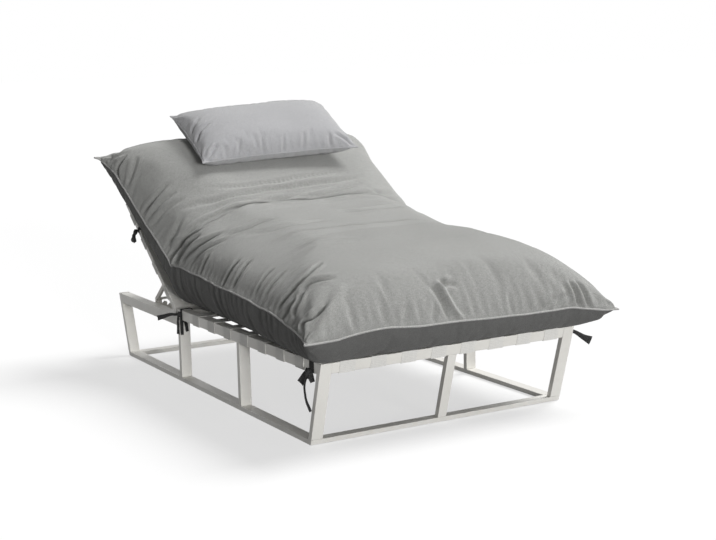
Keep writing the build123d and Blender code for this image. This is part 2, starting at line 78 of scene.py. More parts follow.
def camera_axes(yaw_deg, pitch_deg, roll_deg):
    """Right, up and back direction of a camera from its three angles."""
    yaw, pitch, roll = (math.radians(a) for a in (yaw_deg, pitch_deg, roll_deg))
    ahead = Vector((
        math.sin(yaw) * math.cos(pitch), math.cos(yaw) * math.cos(pitch), -math.sin(pitch)
    ))
    right = Vector((math.cos(yaw), -math.sin(yaw), 0))
    up = right.cross(ahead)
    right, up = (
        right * math.cos(roll) + up * math.sin(roll),
        up * math.cos(roll) - right * math.sin(roll),
    )
    return right, up, -ahead


camera_data = bpy.data.cameras.new("camera")
camera_data.lens = LENS_MM
camera_data.sensor_width = SENSOR_MM
camera = bpy.data.objects.new("camera", camera_data)
scene.collection.objects.link(camera)
axes = camera_axes(CAMERA_YAW, CAMERA_PITCH, CAMERA_ROLL)
camera.matrix_world = Matrix.Translation(CAMERA_PLACE) @ Matrix(axes).transposed().to_4x4()
scene.camera = camera
print("camera looks along", [round(v, 3) for v in -axes[2]])

# %% [markdown]
# ## Material helpers
# Each finish is a few nodes. A small helper adds a node, sets its plain values and links its
# inputs, so that a recipe reads from top to bottom.


# %% Node helpers
def feed(tree, socket, value):
    """Link another socket into this one, or set a plain value on it."""
    if isinstance(value, bpy.types.NodeSocket):
        tree.links.new(value, socket)
    else:
        socket.default_value = value


def set_inputs(tree, node, inputs):
    """Give a node several inputs, as plain values or as links."""
    for key, value in inputs.items():
        feed(tree, node.inputs[key], value)


def add_node(tree, kind, inputs=None, **settings):
    """One node with its settings and its inputs."""
    node = tree.nodes.new(kind)
    for name, value in settings.items():
        setattr(node, name, value)
    set_inputs(tree, node, inputs or {})
    return node


def new_group(name, inputs, outputs):
    """An empty shader group with named sockets. Returns the tree, its input and its output."""
    tree = bpy.data.node_groups.new(name, "ShaderNodeTree")
    for label, kind, value in inputs:
        socket = tree.interface.new_socket(label, in_out="INPUT", socket_type=kind)
        if value is not None:
            socket.default_value = value
    for label, kind in outputs:
        tree.interface.new_socket(label, in_out="OUTPUT", socket_type=kind)
    return tree, tree.nodes.new("NodeGroupInput"), tree.nodes.new("NodeGroupOutput")


def new_material(name):
    """A material with one Principled shader. Returns the material, its tree and shader."""
    material = bpy.data.materials.new(name)
    material.use_nodes = True
    tree = material.node_tree
    return material, tree, tree.nodes["Principled BSDF"]


def use_group(tree, group, inputs):
    """A group placed in a material with its own values."""
    return add_node(tree, "ShaderNodeGroup", inputs, node_tree=group)


def mix_color(tree, factor, first, second, blend_type="MIX"):
    """Mix two colours and return the result's socket."""
    node = add_node(tree, "ShaderNodeMix", data_type="RGBA", blend_type=blend_type)
    for key, value in (("Factor", factor), ("A", first), ("B", second)):
        feed(tree, [s for s in node.inputs if s.name == key and s.enabled][0], value)
    return [s for s in node.outputs if s.enabled][0]


def math_node(tree, operation, *values, clamp=False):
    """A Math node on plain values or sockets. Returns its result."""
    inputs = dict(enumerate(values))
    node = add_node(tree, "ShaderNodeMath", inputs, operation=operation, use_clamp=clamp)
    return node.outputs[0]


def noise_node(tree, vector, scale, detail, roughness):
    """A Noise texture at a vector. Returns its value."""
    return add_node(tree, "ShaderNodeTexNoise", inputs={
        "Vector": vector, "Scale": scale, "Detail": detail, "Roughness": roughness}).outputs[0]


def range_node(tree, value, low, high, to_low=0.0, to_high=1.0):
    """Stretch the values from low to high over another range. Returns the result."""
    return add_node(tree, "ShaderNodeMapRange", inputs={
        "Value": value, "From Min": low, "From Max": high,
        "To Min": to_low, "To Max": to_high}).outputs[0]


def bump_node(tree, strength, distance, height, **under):
    """A Bump node, over another normal where one is given as Normal. Returns its normal."""
    return add_node(tree, "ShaderNodeBump", inputs={
        "Strength": strength, "Distance": distance, "Height": height, **under}).outputs[0]


# %% [markdown]
# ## Woven cloth
# Cloth is two sets of threads that cross. Seen close, each thread is a short bump, and its
# colour is painted lighter on the thread and darker in the grooves, as painted light and shade.
# The yarn itself is a mix of light and dark fibres, which gives the mottled look of a melange.
# The pattern reads the cloth's own UV map, in metres, so it bends with the cloth.

# %% Weave group
weave_group, weave_in, weave_out = new_group(
    "woven_cloth",
    [
        ("Vector", "NodeSocketVector", None),
        ("Threads per metre", "NodeSocketFloat", 1100.0),
        ("Dark yarn", "NodeSocketColor", (0.1, 0.1, 0.1, 1)),
        ("Light yarn", "NodeSocketColor", (0.4, 0.4, 0.4, 1)),
        ("Melange", "NodeSocketFloat", 0.5),
        ("Fading", "NodeSocketFloat", 0.15),
    ],
    [("Color", "NodeSocketColor"), ("Height", "NodeSocketFloat")],
)


def build_weave(tree, source, target):
    """Plain weave: warp and weft ridges in turns, with mottled yarn, slow fading, and painted light and shade on
    the threads and in the grooves.
    """
    threads = source.outputs["Threads per metre"]
    scaled = add_node(tree, "ShaderNodeVectorMath", operation="SCALE",
                      inputs={0: source.outputs["Vector"], "Scale": threads})
    parts = add_node(tree, "ShaderNodeSeparateXYZ", inputs={0: scaled.outputs[0]})
    across = math_node(tree, "SINE", math_node(tree, "MULTIPLY", parts.outputs[0], math.pi))
    along = math_node(tree, "SINE", math_node(tree, "MULTIPLY", parts.outputs[1], math.pi))
    warp = math_node(tree, "ABSOLUTE", across)
    weft = math_node(tree, "ABSOLUTE", along)
    turns = math_node(tree, "GREATER_THAN", math_node(tree, "MULTIPLY", across, along), 0.0)
    over = math_node(tree, "MULTIPLY", warp, turns)
    under = math_node(tree, "MULTIPLY", weft, math_node(tree, "SUBTRACT", 1.0, turns))
    height = math_node(tree, "ADD", over, under)
    grains = []
    for scale in ((300.0, 60.0, 1.0), (60.0, 300.0, 1.0)):
        stretched = add_node(tree, "ShaderNodeMapping", inputs={
            "Vector": source.outputs["Vector"], "Scale": scale})
        grains.append(noise_node(tree, stretched.outputs[0], 1.0, 3.0, 0.65))
    yarn = math_node(tree, "MULTIPLY", math_node(tree, "ADD", *grains), 0.5)
    contrast = math_node(tree, "SUBTRACT", range_node(tree, yarn, 0.36, 0.64), 0.5)
    spread = math_node(
        tree, "MULTIPLY_ADD", contrast, source.outputs["Melange"], 0.5, clamp=True)
    melange = mix_color(tree, spread, source.outputs["Dark yarn"], source.outputs["Light yarn"])
    slow = noise_node(tree, source.outputs["Vector"], 2.3, 4.0, 0.55)
    fade = range_node(tree, slow, 0.3, 0.7, -1.0, 1.0)
    lift = math_node(tree, "MULTIPLY_ADD", fade, source.outputs["Fading"], 1.0)
    # painted light and shade: the colour is lighter on the threads and darker in the grooves between them
    shade = math_node(tree, "MULTIPLY", lift, math_node(tree, "MULTIPLY_ADD", height, 0.22, 0.84))
    grey = add_node(tree, "ShaderNodeCombineXYZ", inputs={0: shade, 1: shade, 2: shade})
    color = mix_color(tree, 1.0, melange, grey.outputs[0], "MULTIPLY")
    set_inputs(tree, target, {"Color": color, "Height": height})


build_weave(weave_group, weave_in, weave_out)
print("weave group sockets", [s.name for s in weave_group.interface.items_tree])

# %% [markdown]
# Each cloth is one call with its own colours: the cushion's base is its top cloth, painted
# darker as shade; its piping is lighter, the pillow paler and cooler, the ties nearly black.


# %% Cloth materials
def cloth_material(name, dark, light, threads, melange, fading, sheen, bump, relief=0.0):
    """A fabric finish that reads the piece's own UV map called cloth, in metres."""
    material, tree, shader = new_material(name)
    uv = add_node(tree, "ShaderNodeUVMap", uv_map="cloth")
    weave = use_group(tree, weave_group, {
        "Vector": uv.outputs[0], "Threads per metre": threads, "Dark yarn": (*dark, 1),
        "Light yarn": (*light, 1), "Melange": melange, "Fading": fading})
    under = {}
    if relief:
        soft = noise_node(tree, uv.outputs[0], 38.0, 5.0, 0.6)
        under["Normal"] = bump_node(tree, relief, 0.004, soft)
    set_inputs(tree, shader, {
        "Base Color": weave.outputs["Color"],
        "Normal": bump_node(tree, bump, 0.0006, weave.outputs["Height"], **under),
        "Roughness": 0.92, "Specular IOR Level": 0.25, "Sheen Weight": sheen,
        "Sheen Roughness": 0.55, "Sheen Tint": (0.85, 0.85, 0.83, 1)})
    return material


CUSHION_GREY = cloth_material(
    "cushion_cloth", dark=(0.205, 0.206, 0.198), light=(0.35, 0.352, 0.338), threads=900.0,
    melange=0.85, fading=0.04, sheen=0.5, bump=0.5, relief=0.2)
# painted shade: the top's cloth made darker and less shiny, for the underside that lies in shade
CUSHION_PAINTED_SHADE = cloth_material(
    "cushion_cloth_painted_shade", dark=(0.098, 0.098, 0.096), light=(0.172, 0.172, 0.167),
    threads=900.0, melange=0.55, fading=0.04, sheen=0.1, bump=0.5, relief=0.2)
PILLOW_GREY = cloth_material(
    "pillow_cloth", dark=(0.30, 0.30, 0.31), light=(0.46, 0.46, 0.473), threads=900.0,
    melange=0.5, fading=0.03, sheen=0.4, bump=0.5, relief=0.15)
PIPING_GREY = cloth_material(
    "piping_cloth", dark=(0.33, 0.33, 0.325), light=(0.56, 0.555, 0.54), threads=900.0,
    melange=1.0, fading=0.04, sheen=0.1, bump=0.6)
TIE_GREY = cloth_material(
    "tie_ribbon", dark=(0.008, 0.008, 0.009), light=(0.075, 0.075, 0.074), threads=1300.0,
    melange=1.2, fading=0.05, sheen=0.02, bump=0.7)
print("cloths", [m.name for m in (CUSHION_GREY, CUSHION_PAINTED_SHADE, PILLOW_GREY, PIPING_GREY, TIE_GREY)])

# %% [markdown]
# ## Powder-coated metal
# Powder coat is a baked plastic skin: nearly white, satin, with a fine orange peel and a
# little dust in slow patches, which are duller too. Noise textures make the peel and the dust,
# so no picture has to be wrapped round the tubes. The same group, with other values, gives
# the plastic of the glides and the steel of the bolts and pins.

# %% Paint group and material
paint_group, paint_in, paint_out = new_group(
    "powder_coat",
    [
        ("Vector", "NodeSocketVector", None),
        ("Color", "NodeSocketColor", (0.8, 0.8, 0.8, 1)),
        ("Dust color", "NodeSocketColor", (0.6, 0.57, 0.5, 1)),
        ("Dust", "NodeSocketFloat", 0.15),
        ("Gloss", "NodeSocketFloat", 0.42),
    ],
    [("Color", "NodeSocketColor"), ("Roughness", "NodeSocketFloat"),
     ("Height", "NodeSocketFloat")],
)


def build_paint(tree, source, target):
    """Even colour with patches of dust, roughness that follows it, and an orange peel."""
    vector = source.outputs["Vector"]
    patches = range_node(tree, noise_node(tree, vector, 5.0, 6.0, 0.6), 0.42, 0.75)
    amount = math_node(tree, "MULTIPLY", patches, source.outputs["Dust"], clamp=True)
    dusty = mix_color(tree, amount, source.outputs["Color"], source.outputs["Dust color"])
    speck = noise_node(tree, vector, 260.0, 2.0, 0.5)
    grain = math_node(tree, "MULTIPLY_ADD", speck, 0.06, 0.97)
    grey = add_node(tree, "ShaderNodeCombineXYZ", inputs={0: grain, 1: grain, 2: grain})
    color = mix_color(tree, 1.0, dusty, grey.outputs[0], "MULTIPLY")
    rough = math_node(tree, "MULTIPLY_ADD", amount, 0.5, source.outputs["Gloss"], clamp=True)
    peel = noise_node(tree, vector, 420.0, 1.0, 0.4)
    set_inputs(tree, target, {"Color": color, "Roughness": rough, "Height": peel})


build_paint(paint_group, paint_in, paint_out)


def paint_material(name, color, dust_color, dust, gloss, metallic=0.0, peel=0.25):
    """A painted or plain hard surface from the powder-coat group."""
    material, tree, shader = new_material(name)
    place = add_node(tree, "ShaderNodeTexCoord")
    coat = use_group(tree, paint_group, {
        "Vector": place.outputs["Object"], "Color": (*color, 1),
        "Dust color": (*dust_color, 1), "Dust": dust, "Gloss": gloss})
    set_inputs(tree, shader, {
        "Base Color": coat.outputs["Color"], "Roughness": coat.outputs["Roughness"],
        "Normal": bump_node(tree, peel, 0.0004, coat.outputs["Height"]), "Metallic": metallic})
    return material


FRAME_PAINT = paint_material(
    "frame_paint", (0.86, 0.845, 0.80), dust_color=(0.55, 0.52, 0.46), dust=0.22, gloss=0.40)
GLIDE_PLASTIC = paint_material(
    "glide_plastic", (0.52, 0.51, 0.49), dust_color=(0.4, 0.38, 0.35), dust=0.3, gloss=0.6)
FASTENER_STEEL = paint_material(
    "fastener_steel", (0.60, 0.59, 0.57), dust_color=(0.42, 0.40, 0.37), dust=0.25, gloss=0.34,
    metallic=1.0, peel=0.1)
print("hard finishes", [m.name for m in (FRAME_PAINT, GLIDE_PLASTIC, FASTENER_STEEL)])

# %% [markdown]
# ## Webbing
# The straps are a coarse webbing, nearly white, with ribs both ways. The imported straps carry
# no UV map, so this finish reads Object coordinates.


# %% Webbing material
def webbing_material():
    """Light woven straps: fine ribs both ways, with a slow change of tone."""
    material, tree, shader = new_material("webbing")
    place = add_node(tree, "ShaderNodeTexCoord")
    weave = use_group(tree, weave_group, {
        "Vector": place.outputs["Object"], "Threads per metre": 520.0,
        "Dark yarn": (0.80, 0.79, 0.755, 1), "Light yarn": (0.92, 0.91, 0.875, 1),
        "Melange": 0.5, "Fading": 0.03})
    set_inputs(tree, shader, {
        "Base Color": weave.outputs["Color"], "Roughness": 0.8,
        "Normal": bump_node(tree, 0.6, 0.0008, weave.outputs["Height"])})
    return material


WEBBING = webbing_material()

# %% [markdown]
# ## The frame and the straps
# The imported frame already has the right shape, so each node only gets its finish. The edges
# of real tubes are never sharp: a weld joins the loose triangles, and a small bevel rounds
# them off.

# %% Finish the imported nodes
FINISHES = {
    "frame_paint": FRAME_PAINT, "webbing": WEBBING, "glide_plastic": GLIDE_PLASTIC,
    "fastener_steel": FASTENER_STEEL, "tie_ribbon": TIE_GREY,
    "cushion_cloth": CUSHION_GREY, "pillow_cloth": PILLOW_GREY,
}
node_slots = {s["node"]: s["material_slot"] for s in frame["record"]["subparts"]}
for name, node in nodes.items():
    node.data.materials.clear()
    node.data.materials.append(FINISHES[node_slots[name]])
    if node_slots[name] in ("frame_paint", "fastener_steel"):
        weld = node.modifiers.new("weld", "WELD")
        weld.merge_threshold = 0.00002
        edge = node.modifiers.new("rounded edges", "BEVEL")
        edge.width = 0.0022 if node_slots[name] == "frame_paint" else 0.0008
        edge.segments = 2
        edge.limit_method = "ANGLE"
        edge.angle_limit = math.radians(40)
        edge.harden_normals = True
print("finished", len(nodes), "packed nodes")

# %% [markdown]
# ## How the soft pieces are shaped
# A cushion like this is two cloth panels sewn together round their edge and stuffed. A block
# could be remeshed and blown up instead, but the seam would lose its sharp line and the cloth
# its UV map. So each one is made as two grids of faces, a top and a bottom, that share the row
# of points along the seam. A table of stations gives its outline, measured along the piece:
# the half width, and the height of the seam, of the crown and of the underside above what
# carries it. Folds and puckers are then pushed into the grids, and a short cloth simulation
# fills them with air.


# %% Curve and noise helpers
def smooth_table(places, values, wanted):
    """A smooth curve through a few values that never overshoots them."""
    places, values = np.asarray(places, float), np.asarray(values, float)
    steps = np.diff(places)
    slopes = np.diff(values) / steps
    tangents = np.zeros(len(values))
    same_way = slopes[:-1] * slopes[1:] > 0
    before, after = 2 * steps[1:] + steps[:-1], steps[1:] + 2 * steps[:-1]
    with np.errstate(divide="ignore", invalid="ignore"):
        harmonic = (before + after) / (before / slopes[:-1] + after / slopes[1:])
    tangents[1:-1] = np.where(same_way, np.nan_to_num(harmonic), 0)
    tangents[0], tangents[-1] = slopes[0], slopes[-1]
    index = np.clip(np.searchsorted(places, wanted) - 1, 0, len(steps) - 1)
    t = (wanted - places[index]) / steps[index]
    return (
        (2 * t**3 - 3 * t**2 + 1) * values[index]
        + (t**3 - 2 * t**2 + t) * steps[index] * tangents[index]
        + (3 * t**2 - 2 * t**3) * values[index + 1]
        + (t**3 - t**2) * steps[index] * tangents[index + 1]
    )


def soft_noise(seed, x, y, cell):
    """Smooth random hills and hollows between -1 and 1, about one per cell."""
    table = np.random.default_rng(seed).uniform(-1, 1, (257, 257))
    gx, gy = np.asarray(x, float) / cell + 64.37, np.asarray(y, float) / cell + 64.71
    ix, iy = np.floor(gx).astype(int), np.floor(gy).astype(int)
    tx, ty = gx - ix, gy - iy
    tx, ty = tx * tx * (3 - 2 * tx), ty * ty * (3 - 2 * ty)
    ix, iy = ix % 256, iy % 256
    low = table[ix, iy] * (1 - tx) + table[ix + 1, iy] * tx
    high = table[ix, iy + 1] * (1 - tx) + table[ix + 1, iy + 1] * tx
    return low * (1 - ty) + high * ty


def ease(value, low, high):
    """0 below low, 1 above high, smooth between them."""
    t = np.clip((np.asarray(value, float) - low) / (high - low), 0, 1)
    return t * t * (3 - 2 * t)


def distance_along(points):
    """How far each point of a line lies from its start, measured along the line."""
    return np.concatenate([[0], np.cumsum(np.linalg.norm(np.diff(points, axis=0), axis=1))])


def resample(points, count):
    """The same line with its points at equal steps, and its length."""
    run = distance_along(points)
    at = np.linspace(0, run[-1], count)
    return np.stack([np.interp(at, run, points[:, k]) for k in range(points.shape[1])], 1), run[-1]


def top_line(half, seam, crown, count, fullness):
    """The upper half of a cross section, from the left seam to the right one."""
    turn = np.linspace(-math.pi / 2, math.pi / 2, 241)
    x = np.sign(turn) * np.abs(np.sin(turn)) ** (2 / fullness) * half
    h = seam + (crown - seam) * np.cos(turn)
    return resample(np.stack([x, h], 1), count)


def base_line(half, seam, base, rest, count):
    """The lower half: flat where it rests, then curling up to the seam."""
    turn = np.linspace(math.pi / 2, 0, 60)
    side_x = rest + (half - rest) * np.sin(turn)
    side_h = base + (seam - base) * (1 - np.cos(turn))
    x = np.concatenate([-side_x, np.linspace(-rest, rest, 60)[1:-1], side_x[::-1]])
    h = np.concatenate([side_h, np.full(58, base), side_h[::-1]])
    return resample(np.stack([x, h], 1), count)


def grid_normals(points):
    """The outward normal at each point of a grid whose rows run along the piece."""
    normal = np.cross(np.gradient(points, axis=1), np.gradient(points, axis=0))
    size = np.linalg.norm(normal, axis=2, keepdims=True)
    return normal / np.maximum(size, 1e-9)


# %% [markdown]
# The two grids become one closed mesh. The seam points are shared, and both panels get a UV
# map in metres, measured along the cloth. Each point also remembers where it lies on the
# cloth and how far from the seams, so that fine folds can be pressed in later.


# %% Build a sewn form
def cloth_object(name, points, faces, uvs):
    """A smooth mesh object with its UV map, called cloth."""
    mesh = bpy.data.meshes.new(name)
    mesh.from_pydata(points.tolist(), [], faces)
    layer = mesh.uv_layers.new(name="cloth")
    layer.data.foreach_set("uv", np.array(uvs, np.float32).ravel())
    mesh.polygons.foreach_set("use_smooth", np.ones(len(faces), bool))
    mesh.update()
    piece = bpy.data.objects.new(name, mesh)
    scene.collection.objects.link(piece)
    return piece


def cloth_lengths(grid):
    """How far along the cloth each point of a grid lies, measured from its middle row."""
    steps = np.linalg.norm(np.diff(grid, axis=0), axis=2)
    run = np.concatenate([np.zeros((1, grid.shape[1])), np.cumsum(steps, axis=0)])
    return run - run[len(run) // 2]


def sewn_mesh(name, form):
    """One closed mesh from two grids that share their outer points, one material each."""
    top, base, across = form["top"], form["base"], form["across"]
    rows, columns = top.shape[:2]
    rim = form["rim"]
    top_index = np.arange(rows * columns).reshape(rows, columns)
    base_index = np.where(rim, top_index, 0)
    base_index[~rim] = rows * columns + np.arange((~rim).sum())
    points = np.concatenate([top.reshape(-1, 3), base[~rim]])
    faces, uvs = [], []
    for index, side, along in ((top_index, 0.0, cloth_lengths(top)),
                               (base_index, 3.0, cloth_lengths(base))):
        for j in range(rows - 1):
            for i in range(columns - 1):
                corners = [(j, i), (j, i + 1), (j + 1, i + 1), (j + 1, i)]
                if side:
                    corners.reverse()
                faces.append([int(index[c]) for c in corners])
                uvs.extend((across[c] + side, along[c]) for c in corners)
    piece = cloth_object(name, points, faces, uvs)
    mesh = piece.data
    mesh.polygons.foreach_set("material_index", np.arange(len(faces)) // (len(faces) // 2))
    panel = np.where(rim, 0.0, 1.0)
    where = np.stack([across, form["place"], panel], 2)
    below = np.stack([across, form["place"], -panel], 2)
    edges = np.stack([form["side"], form["end"], 0 * panel], 2)
    for label, upper, lower in (("where", where, below), ("edges", edges, edges)):
        data = np.concatenate([upper.reshape(-1, 3), lower[~rim]]).astype(np.float32)
        mesh.attributes.new(label, "FLOAT_VECTOR", "POINT").data.foreach_set(
            "vector", data.ravel())
    mesh.update()
    return piece, top_index, base_index


def points_of(mesh, label="position"):
    """A point attribute of a mesh as an array with one row per point."""
    data = np.empty(len(mesh.vertices) * 3, np.float32)
    mesh.attributes[label].data.foreach_get("vector", data)
    return data.reshape(-1, 3).astype(float)


def move_points(piece, points):
    """Put the points of a piece at new places, one row per point."""
    piece.data.vertices.foreach_set("co", points.ravel())
    piece.data.update()


# %% [markdown]
# Air fills the closed form for a few frames, while its seam and the flat part that it rests
# on are held. The move of each point is kept small, so that the outline stays as drawn.


# %% Fill with air
def inflate(piece, pinned, pressure, cap, stretch=-0.02, frames=20):
    """Fill the piece with air for a few frames, with its points kept near their start."""
    start = points_of(piece.data)
    group = piece.vertex_groups.new(name="resting")
    group.add([int(i) for i in pinned], 1.0, "REPLACE")
    cloth = piece.modifiers.new("cloth", "CLOTH")
    settings = cloth.settings
    settings.quality = 6
    settings.mass = 0.25
    settings.tension_stiffness = settings.compression_stiffness = 14
    settings.shear_stiffness = 6
    settings.bending_stiffness = 0.35
    settings.use_pressure = True
    settings.uniform_pressure_force = pressure
    settings.shrink_min = stretch
    settings.vertex_group_mass = group.name
    settings.effector_weights.gravity = 0
    cloth.collision_settings.use_collision = False
    cloth.collision_settings.use_self_collision = False
    cloth.point_cache.frame_start, cloth.point_cache.frame_end = 1, frames
    for number in range(1, frames + 1):
        scene.frame_set(number)
    filled = piece.evaluated_get(bpy.context.evaluated_depsgraph_get()).to_mesh()
    move = points_of(filled) - start
    far = np.linalg.norm(move, axis=1, keepdims=True)
    print(piece.name, "moved by up to", round(float(far.max()), 4), "m, kept under", cap)
    move *= cap * np.tanh(far / cap) / np.maximum(far, 1e-9)
    piece.modifiers.remove(cloth)
    piece.vertex_groups.remove(group)
    move_points(piece, start + move)
    scene.frame_set(1)


def subdivide_once(piece):
    """One level of smooth subdivision, applied."""
    bpy.ops.object.select_all(action="DESELECT")
    piece.select_set(True)
    bpy.context.view_layer.objects.active = piece
    smooth = piece.modifiers.new("subdivision", "SUBSURF")
    smooth.levels = smooth.render_levels = 1
    smooth.boundary_smooth = "PRESERVE_CORNERS"
    bpy.ops.object.modifier_apply(modifier=smooth.name)
    piece.select_set(False)


# how high above a deck the cloth rests, and how far below it a point is still lifted
REST_HEIGHT, DEEPEST_DIP = 0.0003, 0.03


def rest_on(piece, start, ahead, up, reach, half):
    """Lift the points over a flat deck that dip below it. The deck runs ahead of start."""
    points = points_of(piece.data)
    height, along = (points - start) @ up, (points - start) @ ahead
    over = (np.abs(points[:, 0]) < half) & (along > 0) & (along < reach)
    over &= (height < REST_HEIGHT) & (height > -DEEPEST_DIP)
    points[over] += (REST_HEIGHT - height[over])[:, None] * up
    move_points(piece, points)
    print(piece.name, "lifted", int(over.sum()), "points off the straps")


def press(piece, amount):
    """Move each point along its normal: out by a positive amount, in by a negative one."""
    mesh = piece.data
    normals = np.empty(len(mesh.vertices) * 3, np.float32)
    mesh.vertex_normals.foreach_get("vector", normals)
    move_points(piece, points_of(mesh) + normals.reshape(-1, 3) * amount[:, None])


# %% [markdown]
# Puckers are the short creases that stitching leaves along a seam. They start at the seam,
# run straight away from it and fade out. A drawn crease is a valley with a soft ridge on both
# sides, along a line from one place on the cloth to another.


# %% Puckers and creases
def puckers(seed, along_seam, from_seam, spacing, depth, reach):
    """Short ridges square to a seam, uneven in spacing, depth and length."""
    drift = soft_noise(seed, along_seam, 0 * along_seam, spacing * 3)
    strength = 0.55 + 0.45 * soft_noise(seed + 1, along_seam, 0 * along_seam, spacing * 2.2)
    length = reach * (0.65 + 0.5 * (soft_noise(seed + 2, along_seam, 0 * along_seam, spacing) + 1))
    ridge = np.sin(2 * math.pi * (along_seam / spacing + 0.55 * drift))
    lean = np.sin(2 * math.pi * (along_seam + 0.35 * from_seam * drift) / spacing)
    shape = 0.6 * ridge + 0.4 * lean
    rise = ease(from_seam, 0.0, 0.012)
    return rise * depth * strength * shape * np.exp(-(from_seam / length) ** 1.4)


def smooth_run(points, count):
    """A smooth line of a few points, with even steps."""
    points = np.asarray(points, float)
    run = distance_along(points)
    at = np.linspace(0, run[-1], count)
    return np.stack([smooth_table(run, points[:, k], at) for k in range(points.shape[1])], 1)


def drawn_creases(x, y, lines, seed):
    """Valleys along lines, or ridges where the depth is negative, with softer banks."""
    total = np.zeros_like(x)
    for number, (depth, width, *points) in enumerate(lines):
        line = smooth_run(points, 7 * len(points))
        reach = 4 * width
        low, high = line.min(0) - reach, line.max(0) + reach
        near = np.nonzero((x > low[0]) & (x < high[0]) & (y > low[1]) & (y < high[1]))[0]
        spot = np.stack([x[near], y[near]], 1)
        away = np.linalg.norm(spot[:, None] - line[None], axis=2)
        closest = away.argmin(1)
        t = closest / (len(line) - 1)
        ahead = np.gradient(line, axis=0)[closest]
        off = spot - line[closest]
        sign = np.sign(ahead[:, 0] * off[:, 1] - ahead[:, 1] * off[:, 0])
        across = sign * away[np.arange(len(near)), closest] / width
        across = across + 0.30 * soft_noise(seed + number, spot[:, 0], spot[:, 1], 0.06)
        fade = ease(t, -0.02, 0.22) * (1 - ease(t, 0.74, 1.02))
        valley = -1.2 * np.exp(-np.abs(across) ** 1.4)
        valley += 0.5 * np.exp(-((np.abs(across) - 1.8) ** 2))
        total[near] += depth * fade * valley
    return total


# %% [markdown]
# ## The long cushion
# It is a fat fibre-filled quilt, longer and wider than the deck. Its sides pull in a little
# and its corners stand out. It lies flat on the straps, follows the backrest up, and its top
# crowds together over the hinge. The stations are measured from the foot end of the frame
# along the deck, and on past the hinge along the backrest.

# %% Stations of the cushion
DECK_FRONT = -1.010
DECK_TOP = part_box("seat_long_straps")[1].z
RECLINE = math.radians(38.6)
hinge = Vector(frame["joints"][0]["pos_m"])
BACK_DIRECTION = np.array([0, math.cos(RECLINE), math.sin(RECLINE)])
BACK_NORMAL = np.array([0, -math.sin(RECLINE), math.cos(RECLINE)])
# half a backrest tube, how far its straps stand above it, and the cloth above the straps
TUBE_HALF, STRAP_LIFT, CLOTH_LIFT = 0.0125, 0.0043, 0.0004
BACK_TOP = TUBE_HALF + STRAP_LIFT
# the hinge as a place along the deck and along the backrest, and how far the bend spreads
KINK_PLACE = 1.397
KINK_ALONG = 0.0160
KINK_SPREAD = 0.32
CUSHION_SHIFT = 0.008
CUSHION_BOW = 0.022
# place, half width, seam, crown, underside, half width of the part that rests, fullness and
# how much wider the right side is
CUSHION_STATIONS = np.array([
    (-0.112, 0.734, 0.090, 0.090, 0.090, 0.560, 5.0, 0.000),
    (-0.088, 0.719, 0.092, 0.164, 0.044, 0.585, 5.0, 0.000),
    (-0.020, 0.700, 0.102, 0.248, 0.006, 0.595, 5.0, 0.000),
    (0.110, 0.688, 0.131, 0.308, 0.000, 0.600, 4.8, 0.000),
    (0.380, 0.676, 0.167, 0.350, 0.000, 0.570, 4.7, 0.000),
    (0.800, 0.664, 0.193, 0.394, 0.000, 0.500, 4.7, 0.000),
    (1.081, 0.655, 0.203, 0.430, 0.000, 0.470, 5.2, 0.004),
    (1.390, 0.648, 0.216, 0.464, 0.000, 0.460, 7.0, 0.016),
    (1.611, 0.655, 0.200, 0.424, 0.000, 0.470, 7.0, 0.020),
    (1.801, 0.662, 0.168, 0.398, 0.000, 0.500, 6.4, 0.020),
    (1.981, 0.672, 0.155, 0.358, 0.000, 0.520, 6.0, 0.014),
    (2.141, 0.686, 0.148, 0.322, 0.000, 0.540, 5.5, 0.006),
    (2.231, 0.700, 0.133, 0.262, 0.023, 0.540, 5.0, 0.000),
    (2.286, 0.716, 0.119, 0.190, 0.074, 0.540, 5.0, 0.000),
    (2.311, 0.730, 0.108, 0.108, 0.108, 0.540, 5.0, 0.000),
])
# how much the foot-end seam rises or hangs, from the left corner to the right one
FOOT_SEAM_X = [-0.73, -0.59, -0.35, -0.13, 0.09, 0.31, 0.51, 0.66, 0.75]
FOOT_SEAM_RISE = [0.017, 0.016, 0.030, 0.016, 0.008, 0.009, 0.007, -0.017, -0.021]
CUSHION_COLUMNS, CUSHION_ROWS = 129, 221


def deck_place(place):
    """The point under the cushion at a place along the deck, and the way up from it."""
    place = np.asarray(place, float)
    tilt = RECLINE * ease(place, KINK_PLACE - KINK_SPREAD, KINK_PLACE + KINK_SPREAD)
    up = np.stack([0 * tilt, -np.sin(tilt), np.cos(tilt)], -1)
    seat = np.stack([0 * place, DECK_FRONT + place, 0 * place + DECK_TOP + CLOTH_LIFT], -1)
    along = (place - KINK_PLACE + KINK_ALONG)[..., None]
    back = np.array(hinge) + along * BACK_DIRECTION + (BACK_TOP + CLOTH_LIFT) * BACK_NORMAL
    return np.where((place > KINK_PLACE)[..., None], back, seat), up


def even_places(stations, rows):
    """Row places spaced evenly along the cloth, closer together where it drops at the ends."""
    fine = np.linspace(stations[0, 0], stations[-1, 0], 900)
    crown = smooth_table(stations[:, 0], stations[:, 3], fine)
    under = smooth_table(stations[:, 0], stations[:, 4], fine)
    step = np.hypot(np.diff(fine), 0.5 * np.abs(np.diff(crown)) + 0.5 * np.abs(np.diff(under)))
    run = np.concatenate([[0], np.cumsum(step)])
    return np.interp(np.linspace(0, run[-1], rows), run, fine)


